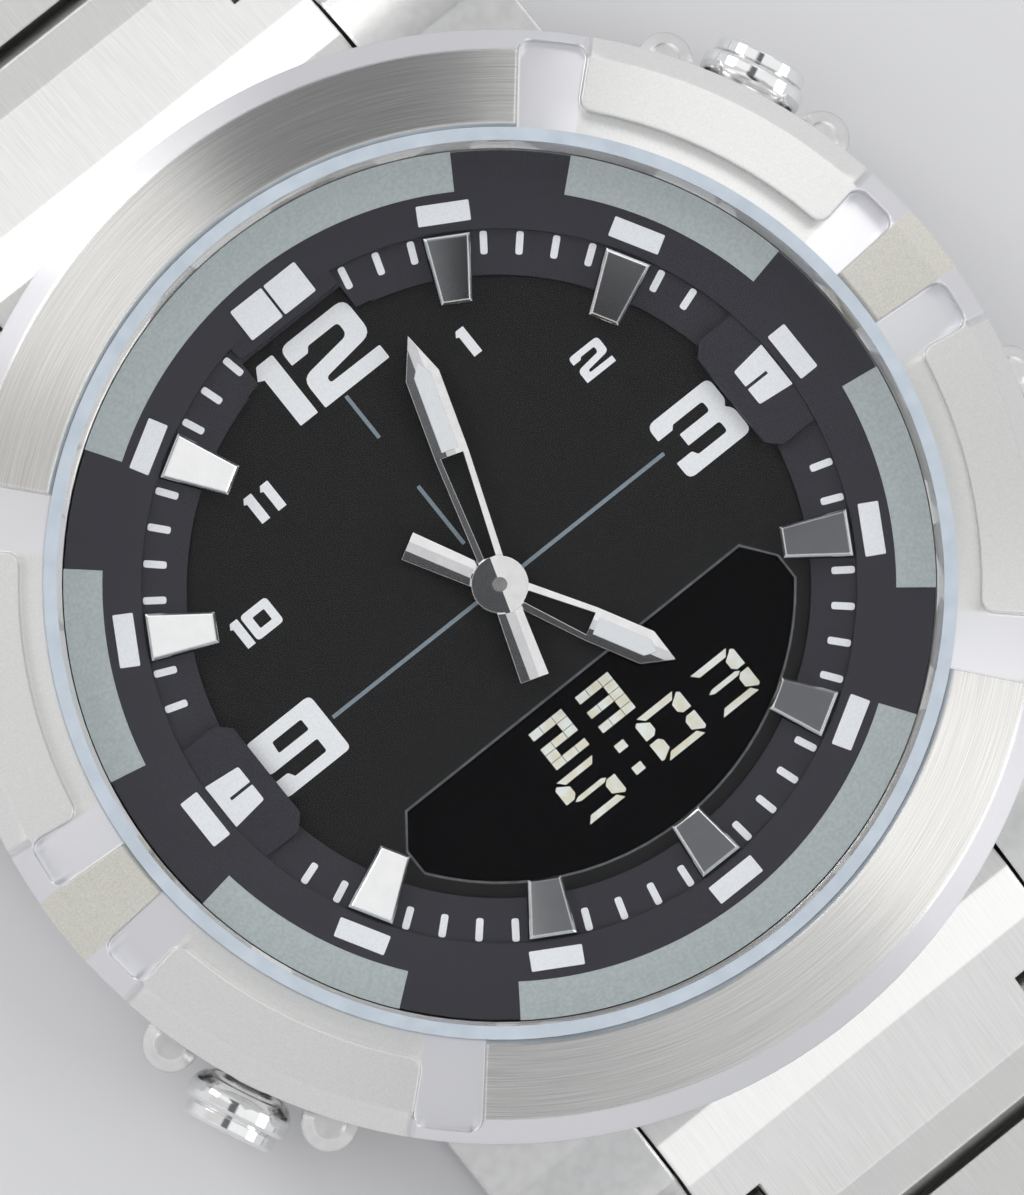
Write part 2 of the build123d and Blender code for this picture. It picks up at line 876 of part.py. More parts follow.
def motor_rotor():
    inter, place, _ = train_places()
    inter_turn = meshed(centre_teeth, pinion_teeth, intermediate_angle)
    turn = inter_turn + meshed(intermediate_teeth, pinion_teeth, rotor_angle - inter_turn)
    pinion = gear(pinion_teeth, rotor_module, rotor_pinion_low, rotor_pinion_low + rotor_pinion_length)
    body = Rot(0, 0, turn) * pinion + disc(pivot_radius, board_top, frame_roof_low)
    body += disc(rotor_magnet_radius, motor_low, motor_low + rotor_magnet_height)
    return Pos(*place, 0) * body


def minute_wheel():
    x, y = train_places()[2]
    low = cannon_low - assembly_gap
    turn = meshed(cannon_teeth, minute_wheel_teeth, minute_wheel_angle)
    wheel = gear(minute_wheel_teeth, motion_module, cannon_low, cannon_low + gear_face)
    pinion = gear(minute_pinion_teeth, second_motion_module(), cannon_low, hour_wheel_low + gear_face)
    body = Rot(0, 0, turn) * (wheel + pinion) + disc(pivot_radius, low, frame_roof_low)
    return Pos(x, y, 0) * body


def hour_wheel():
    first = meshed(cannon_teeth, minute_wheel_teeth, minute_wheel_angle)
    back_direction = minute_wheel_angle + 180 - first
    turn = first + meshed(minute_pinion_teeth, hour_wheel_teeth, back_direction)
    wheel = gear(hour_wheel_teeth, second_motion_module(), hour_wheel_low, hour_wheel_low + gear_face)
    body = Rot(0, 0, turn) * wheel + disc(hour_pipe_radius, hour_wheel_low, hour_hand_low)
    body -= disc(hour_pipe_bore, 0, hour_hand_low + cut_overrun)
    return body


def motor_stator():
    # Plate from the rotor hole to the ends of the coil core
    x, y = train_places()[1]
    low, high = motor_low, motor_low + stator_thickness
    half = stator_half_width
    y_low, y_high = coil_y - coil_radius, coil_y + coil_radius
    plate = block(x - half, x + half, y - half, y_high, low, high)
    plate += block(-coil_core_half - half, coil_core_half, y_low, y_high, low, high)
    gap = coil_half_length + assembly_gap
    plate -= block(x + half, gap, y_low, coil_y, low - cut_overrun, high + cut_overrun)
    return plate - disc(rotor_magnet_radius + pocket_gap, 0, high + cut_overrun, x, y)


def motor_coil():
    low = motor_low + stator_thickness
    z = low + coil_radius
    winding = rod(coil_radius, -coil_half_length, coil_half_length, coil_y, z)
    for side in (1, -1):
        inner, outer = side * coil_half_length, side * (coil_half_length + stator_thickness)
        x_low, x_high = sorted((inner, outer))
        winding += block(x_low, x_high, coil_y - coil_radius, coil_y + coil_radius, low, z + coil_radius)
    return winding


def train_pockets(low, high):
    inter, rotor, minute = train_places()
    space = disc(train_module * centre_teeth / 2 + pocket_gap, low, high)
    space += disc(rotor_module * intermediate_teeth / 2 + pocket_gap, low, high, *inter)
    space += disc(hypot(stator_half_width, stator_half_width) + pocket_gap, low, high, *rotor)
    space += disc(motion_module * minute_wheel_teeth / 2 + pocket_gap, low, high, *minute)
    y_low = rotor[1]
    reach = coil_core_half + stator_half_width + pocket_gap
    space += block(-reach, reach, y_low, coil_y + coil_radius + pocket_gap, low, high)
    return space


def button_pockets():
    spaces = []
    room = clip_radius + pocket_gap
    start = stem_tip - button_travel - pocket_gap * 2
    for angle in button_angles():
        hole = Pos(0, 0, start) * Cylinder(room, case_radius - start, align=rise)
        spaces.append(on_button_axis(angle) * hole)
    return spaces


def module_frame():
    frame_low = board_top + running_gap / 2
    body = disc(frame_radius, frame_low, dial_seat)
    body -= train_pockets(0, frame_roof_low)
    body -= disc(hour_pipe_radius + assembly_gap, 0, dial_top)
    inter, rotor, minute = train_places()
    for x, y in (inter, rotor, minute):
        body -= disc(pivot_radius + running_gap, 0, dial_top, x, y)
    depth = dial_seat - frame_low + 2 * cut_overrun
    body -= Pos(0, 0, frame_low - cut_overrun) * extrude(display_plan(assembly_gap), depth)
    lamp_room = block(lamp_x - pocket_gap, lamp_x + lamp_length + pocket_gap, lamp_y - pocket_gap,
                      lamp_y + lamp_width + pocket_gap, 0, dial_seat + cut_overrun)
    body -= lamp_room
    for space in button_pockets():
        body -= space
    return body


def gear_bridge():
    # Steel plate under the train, with the lower pivot holes
    plate = train_pockets(board_top, board_top + bridge_thickness)
    inter, rotor, _ = train_places()
    for x, y in ((0, 0), inter, rotor):
        plate -= disc(pivot_radius + running_gap, 0, dial_top, x, y)
    return plate & disc(frame_radius - pocket_gap, 0, dial_top)


def circuit_board():
    body = disc(frame_radius - board_inset, board_low, board_top)
    for space in button_pockets():
        body -= space
    return body


def module_base():
    # Plastic ring that holds the battery
    body = disc(frame_radius, base_low, board_low - running_gap)
    body -= disc(battery_radius + assembly_gap, 0, board_low, battery_x, 0)
    for space in button_pockets():
        body -= space
    return body


def battery():
    high = battery_low + battery_height
    body = disc(battery_radius, battery_low + battery_rim, high, battery_x, 0)
    return body + disc(battery_radius * battery_neck_share, battery_low, high, battery_x, 0)


def battery_clip():
    # Spring plate across the battery's face, fixed to the base on both sides
    reach = sqrt((frame_radius - pocket_gap) ** 2 - clip_width**2)
    return block(-reach, reach, -clip_width / 2, clip_width / 2, base_low - clip_plate, base_low)


def buzzer():
    return disc(buzzer_radius, back_thickness, back_thickness + buzzer_thickness)


def hand_outline(reach, inset=0):
    # Tail, neck at the hub, shoulders and point, drawn towards +Y
    shoulder = reach * shoulder_share
    tip_start = reach * tip_start_share
    wide, neck, tail = hand_half_width - inset, hand_neck_half - inset, hand_tail_half - inset
    return (
        (-tail, inset - hand_tail),
        (tail, inset - hand_tail),
        (neck, 0),
        (wide, shoulder),
        (wide, tip_start),
        (0, reach - 2 * inset),
        (-wide, tip_start),
        (-wide, shoulder),
        (-neck, 0),
    )


def hand_blade(reach, low):
    blade = prism(hand_outline(reach), low, low + hand_thickness)
    # Two facets fall from the ridge to the long edges.
    eaves = low + hand_edge * hand_edge / hand_thickness
    crest = low + hand_thickness + hand_edge / 2
    section = outline(((-hub_radius, low), (hub_radius, low), (hub_radius, eaves), (0, crest),
                       (-hub_radius, eaves)))
    roof = extrude(Plane.XZ * section, reach + hand_tail, both=True)
    blade &= roof
    shoulder = reach * shoulder_share
    inner_half = hand_half_width - rail_width
    slot = (
        (-hand_neck_half + rail_width, hub_radius),
        (hand_neck_half - rail_width, hub_radius),
        (inner_half, shoulder),
        (-inner_half, shoulder),
    )
    blade -= prism(slot, low - cut_overrun, low + cut_overrun)
    blade -= prism(lume_outline(reach), low + hand_edge, low + cut_overrun)
    return blade + disc(hub_radius, low, low + hand_thickness)


def lume_outline(reach):
    shoulder = reach * shoulder_share + rail_width
    tip_start = reach * tip_start_share
    point = tip_start + lume_tip_share * (reach - tip_start)
    return ((-lume_half, shoulder), (lume_half, shoulder), (lume_half, tip_start), (0, point),
            (-lume_half, tip_start))


def hour_hand():
    blade = hand_blade(hour_reach, hour_hand_low)
    blade -= disc(hour_pipe_bore, 0, crystal_low)
    return Rot(0, 0, -hour_angle) * blade


def minute_hand():
    blade = hand_blade(minute_reach, minute_hand_low)
    blade -= disc(arbor_radius, 0, crystal_low)
    return Rot(0, 0, -minute_angle) * blade


def hand_lume(reach, low, angle):
    top = low + hand_thickness + lume_rise
    return Rot(0, 0, -angle) * prism(lume_outline(reach), low + hand_edge, top)


def strip(y_low, y_high):
    return Pos((y_low + y_high) / 2, hinge_z) * Rectangle(y_high - y_low, link_thickness)


def knuckle(y):
    round_end = Pos(y, hinge_z) * Circle(knuckle_radius)
    return round_end & (Pos(y, hinge_z) * Rectangle(2 * knuckle_radius, link_thickness))


def bevelled(solid, size):
    # The long top edges get a flat bevel.
    rims = [edge for edge in solid.edges().filter_by(Axis.Y) if edge.length > knuckle_radius]
    top = max(edge.center().Z for edge in rims)
    return chamfer([edge for edge in rims if edge.center().Z > top - running_gap], size)


def link_body(last):
    # The tongue reaches forward to the next pin, two arms reach back round this link's pin. The last
    # link's tongue is forked to take the end of the clasp's inner blade on a spring bar.
    tongue = crossways(strip(face_distance, link_pitch) + knuckle(link_pitch),
                       -tongue_half_width, tongue_half_width)
    body = bevelled(tongue, link_bevel)
    arm_inner = tongue_half_width + assembly_gap
    arm_profile = knuckle(0) + strip(0, link_pitch - face_distance)
    for low, high in ((arm_inner, link_half_width), (-link_half_width, -arm_inner)):
        body += bevelled(crossways(arm_profile, low, high), link_bevel)
    bridge_profile = Pos(link_pitch / 2, hinge_z - link_bevel / 2) * Rectangle(
        link_pitch - 2 * face_distance, link_thickness - link_bevel)
    body += crossways(bridge_profile, -arm_inner - link_bevel, arm_inner + link_bevel)
    body -= rod(link_pin_radius, -link_half_width, link_half_width, 0, hinge_z)
    hole = link_pin_radius + running_gap
    if last:
        hole = spring_bar_tip_radius + running_gap
        fork = blade_half + free_ear_gap
        body -= block(-fork, fork, link_pitch - free_ear_depth, link_pitch + knuckle_radius + cut_overrun,
                      -cut_overrun, link_thickness + cut_overrun)
    return body - rod(hole, -link_half_width, link_half_width, link_pitch, hinge_z)


def link_pin():
    reach = link_half_width - link_pin_inset
    return rod(link_pin_radius, -reach, reach, 0, hinge_z)


def bracelet_link(index, side, last=False):
    body = link_body(last)
    place = Pos(0, first_hinge_y + index * link_pitch, 0)
    link = place * Compound([*body.solids(), *link_pin().solids()])
    return link if side > 0 else Rot(0, 0, 180) * link


def end_link():
    # The outer face falls in one plane from a ridge beside the case to the top of the tongue
    side_end = first_hinge_y - face_distance
    ridge_y = lug_tip_y - end_link_ridge_inset
    ridge_z = case_top - end_link_ridge_drop
    side_z = ridge_z - (ridge_z - link_thickness) * (side_end - ridge_y) / (first_hinge_y - ridge_y)
    high = case_top - end_link_drop
    side_profile = outline((
        (0, end_link_low),
        (lug_tip_y - end_link_heel, end_link_low),
        (lug_tip_y, 0),
        (side_end, 0),
        (side_end, side_z),
        (ridge_y, ridge_z),
        (case_radius - end_link_start, high),
        (0, high),
    ))
    body = crossways(side_profile, -end_link_half, end_link_half)
    body -= disc(case_radius + assembly_gap, -cut_overrun, case_top + cut_overrun)
    tongue_profile = outline((
        (lug_tip_y, 0),
        (first_hinge_y, 0),
        (first_hinge_y, link_thickness),
        (ridge_y, ridge_z),
        (ridge_y, link_thickness),
        (lug_tip_y, link_thickness),
    ))
    tongue_profile += knuckle(first_hinge_y)
    body += crossways(tongue_profile, -tongue_half_width, tongue_half_width)
    body -= rod(spring_bar_radius, -link_half_width, link_half_width, spring_bar_y, spring_bar_z)
    hole = link_pin_radius + running_gap
    return body - rod(hole, -link_half_width, link_half_width, first_hinge_y, hinge_z)


def end_links():
    first = end_link()
    second = Rot(0, 0, 180) * first
    return Compound([*first.solids(), *second.solids()])


def spring_bars():
    bars = []
    for side in (1, -1):
        y = side * spring_bar_y
        bar = rod(spring_bar_radius, -end_link_half, end_link_half, y, spring_bar_z)
        reach = slot_half_width + spring_bar_tip
        bar += rod(spring_bar_tip_radius, -reach, reach, y, spring_bar_z)
        bars += bar.solids()
    return Compound(bars)


def clasp_cover():
    # Channel with a flat top plate, two walls and two ears for the bracelet's pin
    half = link_half_width
    inner = half - cover_wall
    plate = block(-half, half, clasp_y + face_distance, cover_end, link_thickness,
                  link_thickness + cover_plate)
    plate = bevelled(plate, link_bevel)
    body = plate
    ear_inner = tongue_half_width + assembly_gap
    ear = knuckle(clasp_y) + strip(clasp_y, clasp_y + cover_ear_length)
    for low, high in ((ear_inner, half), (-half, -ear_inner)):
        body += crossways(ear, low, high)
    for low, high in ((inner, half), (-half, -inner)):
        body += block(low, high, clasp_y, cover_end, 0, link_thickness)
    knuckle_low = blade_hinge_half + assembly_gap
    bearing = (Pos(far_hinge_y, far_hinge_z) * Circle(blade_hinge_radius)) + (
        Pos(far_hinge_y, (far_hinge_z + link_thickness) / 2)
        * Rectangle(2 * blade_hinge_radius, link_thickness - far_hinge_z)
    )
    for low, high in ((knuckle_low, inner), (-inner, -knuckle_low)):
        body += crossways(bearing, low, high)
    bracket_inner = blade_half + bracket_gap
    for side in (1, -1):
        low, high = sorted((side * bracket_inner, side * (bracket_inner + bracket_thickness)))
        body += block(low, high, release_y - bracket_half, release_y + bracket_half,
                      release_z - bracket_half / 2, link_thickness)
        x_low, x_high = sorted((side * inner - side * cut_overrun, side * (half + cut_overrun)))
        body -= rod(release_radius + running_gap, x_low, x_high, release_y, release_z)
    body -= rod(link_pin_radius, -half, half, clasp_y, hinge_z)
    return body - rod(blade_pin_radius, -inner, inner, far_hinge_y, far_hinge_z)


def cover_with_pins():
    reach = link_half_width - link_pin_inset
    pin = rod(link_pin_radius, -reach, reach, clasp_y, hinge_z)
    inner = link_half_width - cover_wall
    hinge_pin = rod(blade_pin_radius, -inner, inner, far_hinge_y, far_hinge_z)
    return Compound([*clasp_cover().solids(), *pin.solids(), *hinge_pin.solids()])


def middle_blade():
    plate_low = far_hinge_z - blade_thickness / 2
    plate_high = plate_low + blade_thickness
    body = block(-blade_half, blade_half, near_hinge_y + blade_notch, far_hinge_y - blade_notch,
                 plate_low, plate_high)
    half = blade_hinge_half
    body += block(-half, half, near_hinge_y, far_hinge_y, plate_low, plate_high)
    body += rod(blade_hinge_radius, -half, half, far_hinge_y, far_hinge_z)
    body += rod(blade_hinge_radius, -half, half, near_hinge_y, near_hinge_z)
    hole = blade_pin_radius + running_gap
    body -= rod(hole, -half, half, far_hinge_y, far_hinge_z)
    body -= rod(blade_pin_radius, -half, half, near_hinge_y, near_hinge_z)
    pin = rod(blade_pin_radius, -blade_half, blade_half, near_hinge_y, near_hinge_z)
    return Compound([*body.solids(), *pin.solids()])


def inner_blade():
    low, high = inner_blade_low, inner_blade_low + blade_thickness
    body = block(-blade_half, blade_half, near_hinge_y + blade_notch, boss_y, low, high)
    gap_half = blade_hinge_half + assembly_gap
    hole = blade_pin_radius + running_gap
    for x_low, x_high in ((gap_half, blade_half), (-blade_half, -gap_half)):
        body += block(x_low, x_high, near_hinge_y, near_hinge_y + blade_notch + cut_overrun, low, high)
        body += rod(blade_hinge_radius, x_low, x_high, near_hinge_y, near_hinge_z)
        body -= rod(hole, x_low, x_high, near_hinge_y, near_hinge_z)
    body += rod(boss_radius, -blade_half, blade_half, boss_y, boss_radius)
    body &= block(-blade_half, blade_half, clasp_y, boss_y + boss_radius, 0, 2 * boss_radius)
    return body - rod(boss_bore_radius, -blade_half, blade_half, boss_y, boss_radius)


def release_button(side):
    collar_low = release_seat - release_collar
    shaft_end = link_half_width + release_proud
    low, high = sorted((side * collar_low, side * shaft_end))
    body = rod(release_radius, low, high, release_y, release_z)
    face = body.faces().sort_by(Axis.X)[-1 if side > 0 else 0]
    body = chamfer(face.edges(), release_bevel)
    low, high = sorted((side * collar_low, side * release_seat))
    return body + rod(release_collar_radius, low, high, release_y, release_z)


def release_spring(side):
    start = blade_half + bracket_gap + bracket_thickness
    length = release_seat - release_collar - start
    wire = coil(release_spring_radius, release_spring_wire, length, release_spring_turns)
    axis = Plane(origin=(side * start, release_y, release_z), x_dir=(0, 0, 1), z_dir=(side, 0, 0))
    return axis * wire


def bracelet():
    pieces = {}
    for index in range(links_at_12):
        pieces[f"link_12_{index + 1}"] = bracelet_link(index, 1)
    for index in range(links_at_6):
        pieces[f"link_6_{index + 1}"] = bracelet_link(index, -1, last=index == links_at_6 - 1)
    return pieces


def clasp():
    return {
        "clasp_cover": cover_with_pins(),
        "clasp_middle_blade": middle_blade(),
        "clasp_inner_blade": inner_blade(),
        "clasp_button_3_side": release_button(1),
        "clasp_button_9_side": release_button(-1),
        "clasp_spring_3_side": release_spring(1),
        "clasp_spring_9_side": release_spring(-1),
    }


def buttons():
    names = ("2", "4", "10", "8")
    pieces = {}
    for name, angle in zip(names, button_angles()):
        pieces[f"button_{name}"] = button(angle)
        pieces[f"button_spring_{name}"] = button_spring(angle)
    return pieces


def watch_head():
    return {
        "case_middle": case_middle(),
        "case_back": case_back(),
        "case_back_gasket": back_gasket(),
        "case_back_screws": case_back_screws(),
        "bezel": bezel(),
        "crystal": crystal(),
        "crystal_gasket": crystal_gasket(),
        "chapter_ring": chapter_ring(),
        "dial": dial(),
        "hour_markers": hour_markers(),
        "button_gaskets": button_gaskets(),
        "end_links": end_links(),
        "spring_bars": spring_bars(),
    }


def movement():
    return {
        "lcd_panel": lcd_panel(),
        "lcd_connectors": lcd_connectors(),
        "dial_lamp": dial_lamp(),
        "module_frame": module_frame(),
        "module_base": module_base(),
        "gear_bridge": gear_bridge(),
        "circuit_board": circuit_board(),
        "battery": battery(),
        "battery_clip": battery_clip(),
        "buzzer": buzzer(),
        "motor_stator": motor_stator(),
        "motor_coil": motor_coil(),
        "motor_rotor": motor_rotor(),
        "intermediate_wheel": intermediate_wheel(),
        "centre_arbor": centre_arbor(),
        "minute_wheel": minute_wheel(),
        "hour_wheel": hour_wheel(),
        "hour_hand": hour_hand(),
        "hour_hand_lume": hand_lume(hour_reach, hour_hand_low, hour_angle),
        "minute_hand": minute_hand(),
        "minute_hand_lume": hand_lume(minute_reach, minute_hand_low, minute_angle),
    }


for name, piece in {**watch_head(), **movement(), **buttons(), **bracelet(), **clasp()}.items():
    export_step(piece, f"parts/{name}.step")
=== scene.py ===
import json
from math import cos, hypot, pi, radians, sin
import bmesh
import bpy
from mathutils import Matrix, Vector


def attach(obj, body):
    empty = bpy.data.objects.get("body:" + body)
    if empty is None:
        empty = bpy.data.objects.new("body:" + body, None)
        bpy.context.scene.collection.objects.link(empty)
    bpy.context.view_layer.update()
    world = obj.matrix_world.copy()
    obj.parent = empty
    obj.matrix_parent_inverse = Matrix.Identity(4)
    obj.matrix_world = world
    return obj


# a watch with hands and a display, on a linked steel bracelet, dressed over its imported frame
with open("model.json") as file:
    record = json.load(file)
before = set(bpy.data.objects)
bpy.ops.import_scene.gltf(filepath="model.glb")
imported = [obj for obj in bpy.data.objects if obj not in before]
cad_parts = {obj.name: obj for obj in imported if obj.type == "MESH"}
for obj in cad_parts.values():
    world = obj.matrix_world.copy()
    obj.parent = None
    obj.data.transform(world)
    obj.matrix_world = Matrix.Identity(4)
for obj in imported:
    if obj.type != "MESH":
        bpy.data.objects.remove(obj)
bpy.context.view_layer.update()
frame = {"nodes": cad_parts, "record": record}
nodes = frame["nodes"]
mm = 0.001
print("frame loaded:", len(nodes), "nodes")


def hexColour(code):
    # sRGB hex to the linear colour that a shader wants
    parts = [int(code[i:i + 2], 16) / 255 for i in (1, 3, 5)]
    return tuple(p / 12.92 if p <= 0.04045 else ((p + 0.055) / 1.055) ** 2.4 for p in parts) + (1,)


def addNode(tree, kind, inputs=None, **settings):
    # adds a node: settings are its properties, inputs are values, or sockets and nodes to link from
    node = tree.nodes.new(kind)
    for key, value in settings.items():
        setattr(node, key, value)
    for key, value in (inputs or {}).items():
        if isinstance(value, bpy.types.Node):
            value = value.outputs[0]
        if isinstance(value, bpy.types.NodeSocket):
            tree.links.new(value, node.inputs[key])
        else:
            node.inputs[key].default_value = value
    return node


def setStops(ramp, stops):
    # puts a colour ramp's stops in place: position and sRGB colour
    elements = ramp.color_ramp.elements
    while len(elements) < len(stops):
        elements.new(1.0)
    for element, (position, code) in zip(elements, stops):
        element.position = position
        element.color = hexColour(code)
    return ramp


def newMaterial(name, **shader):
    material = bpy.data.materials.new(name)
    material.use_nodes = True
    tree = material.node_tree
    tree.nodes.clear()
    surface = addNode(tree, "ShaderNodeBsdfPrincipled", shader)
    addNode(tree, "ShaderNodeOutputMaterial", {"Surface": surface})
    place = addNode(tree, "ShaderNodeTexCoord").outputs["Object"]
    return material, tree, surface, place


# a scratch's length in its own widths, the radius in mm at which those round the dial are measured,
# how squarely a face looks sideways before it counts as upright, and how far scratches spread the
# roughness to each side
scratches = {"length": 60, "ringLength": 90, "ringRadius": 21.0, "uprightFrom": 0.7, "roughSpread": 0.05}
# how high the bumps of scratches and of grains stand, in mm, and the samples that ease an edge
bumps = {"scratch": 0.01, "grain": 0.02, "edgeSamples": 4}


def grainVector(tree, place, along, grain):
    # coordinates in which a noise turns into scratches along x, along y or round the dial
    long, ringLong = 1 / scratches["length"], 1 / scratches["ringLength"]
    stretch = {"x": (long, 1, long), "y": (1, long, long), "round": (1, ringLong, ringLong)}[along]
    if along == "round":
        axes = addNode(tree, "ShaderNodeSeparateXYZ", {0: place}).outputs
        flat = addNode(tree, "ShaderNodeCombineXYZ", {0: axes[0], 1: axes[1]})
        reach = addNode(tree, "ShaderNodeVectorMath", {0: flat}, operation="LENGTH").outputs["Value"]
        # both halves of the ring share one turn, so that no seam shows where the angle starts again
        sideways = addNode(tree, "ShaderNodeMath", {0: axes[0]}, operation="ABSOLUTE")
        turn = addNode(tree, "ShaderNodeMath", {0: sideways, 1: axes[1]}, operation="ARCTAN2")
        arc = addNode(tree, "ShaderNodeMath", {0: turn, 1: scratches["ringRadius"] * mm}, operation="MULTIPLY")
        place = addNode(tree, "ShaderNodeCombineXYZ", {0: reach, 1: arc, 2: axes[2]})
    else:
        # on upright sides the lines are counted by height, so that they run lengthwise there too
        across = "xy".index(along) ^ 1
        facing = addNode(tree, "ShaderNodeSeparateXYZ", {0: addNode(tree, "ShaderNodeTexCoord").outputs["Normal"]})
        upright = addNode(tree, "ShaderNodeMath", {0: facing.outputs[across]}, operation="ABSOLUTE")
        upright = addNode(tree, "ShaderNodeMath", {0: upright, 1: scratches["uprightFrom"]}, operation="GREATER_THAN")
        axes = addNode(tree, "ShaderNodeSeparateXYZ", {0: place}).outputs
        height = addNode(tree, "ShaderNodeMath", {0: axes[2], 1: upright, 2: axes[across]}, operation="MULTIPLY_ADD")
        place = addNode(tree, "ShaderNodeCombineXYZ", {across: height, 1 - across: axes[1 - across], 2: axes[2]})
    return addNode(tree, "ShaderNodeMapping", {"Vector": place, "Scale": [s / (grain * mm) for s in stretch]})


def easedEdge(tree, radius):
    # a normal that rounds the edges off in shading, over a radius in mm
    return addNode(tree, "ShaderNodeBevel", {"Radius": radius * mm}, samples=bumps["edgeSamples"])


def brushedSteel(name, tones, along, grain=0.05, rough=0.3, depth=0.06, edge=0.1):
    # brushed steel: fine parallel scratches that stretch each highlight across them, and edges
    # eased by handling, which catch a bright line
    material, tree, surface, place = newMaterial(name, Metallic=1.0, Anisotropic=0.7)
    scratch = addNode(tree, "ShaderNodeTexNoise", {"Vector": grainVector(tree, place, along, grain), "Scale": 1.0,
                                                  "Detail": 3.0})
    shade = setStops(addNode(tree, "ShaderNodeValToRGB", {"Fac": scratch.outputs["Fac"]}),
                     [(0.32, tones[0]), (0.68, tones[1])])
    tree.links.new(shade.outputs[0], surface.inputs["Base Color"])
    coarse = addNode(tree, "ShaderNodeMapRange", {"Value": scratch.outputs["Fac"], "From Min": 0.3, "From Max": 0.7,
                                                 "To Min": rough - scratches["roughSpread"],
                                                 "To Max": rough + scratches["roughSpread"]})
    tree.links.new(coarse.outputs[0], surface.inputs["Roughness"])
    across = {"x": (0, 1), "y": (1, 0)}.get(along)
    if across:
        spread = addNode(tree, "ShaderNodeCombineXYZ", {0: across[0], 1: across[1]})
    else:
        axes = addNode(tree, "ShaderNodeSeparateXYZ", {0: place}).outputs
        spread = addNode(tree, "ShaderNodeCombineXYZ", {0: axes[0], 1: axes[1]})
    spread = addNode(tree, "ShaderNodeVectorMath", {0: spread}, operation="NORMALIZE")
    tree.links.new(spread.outputs[0], surface.inputs["Tangent"])
    eased = easedEdge(tree, edge)
    bump = addNode(tree, "ShaderNodeBump", {"Height": scratch.outputs["Fac"], "Strength": depth,
                                            "Distance": bumps["scratch"] * mm, "Normal": eased})
    tree.links.new(bump.outputs[0], surface.inputs["Normal"])
    return material


def speckled(name, tones, grain, rough, depth=0.1, metal=0.0, edge=0.0, **shader):
    # a surface with no direction: two close tones and a fine bump at the size of its grain
    material, tree, surface, place = newMaterial(name, Metallic=metal, Roughness=rough, **shader)
    spots = addNode(tree, "ShaderNodeTexNoise", {"Vector": place, "Scale": 1 / (grain * mm), "Detail": 3.0})
    shade = setStops(addNode(tree, "ShaderNodeValToRGB", {"Fac": spots.outputs["Fac"]}),
                     [(0.35, tones[0]), (0.65, tones[1])])
    tree.links.new(shade.outputs[0], surface.inputs["Base Color"])
    bump = addNode(tree, "ShaderNodeBump", {"Height": spots.outputs["Fac"], "Strength": depth,
                                            "Distance": bumps["grain"] * mm})
    if edge:
        tree.links.new(easedEdge(tree, edge).outputs[0], bump.inputs["Normal"])
    tree.links.new(bump.outputs[0], surface.inputs["Normal"])
    return material


# the bezel's finishes by clock angle from 12 or 6, in degrees, and by radius in mm; grains and the
# eased edge in mm, depths as bump strengths
bezelZones = {"arcEnd": 40.5, "plateStart": 48.0, "plateEnd": 80.4, "tabStart": 86.2, "bevelRadius": 22.3,
              "arcRough": 0.2, "plateRough": 0.36, "tabRough": 0.5, "hollowRough": 0.3, "scratchGrain": 0.045,
              "scratchDepth": 0.15, "blastGrain": 0.09, "blastDepth": 0.35, "edge": 0.16}


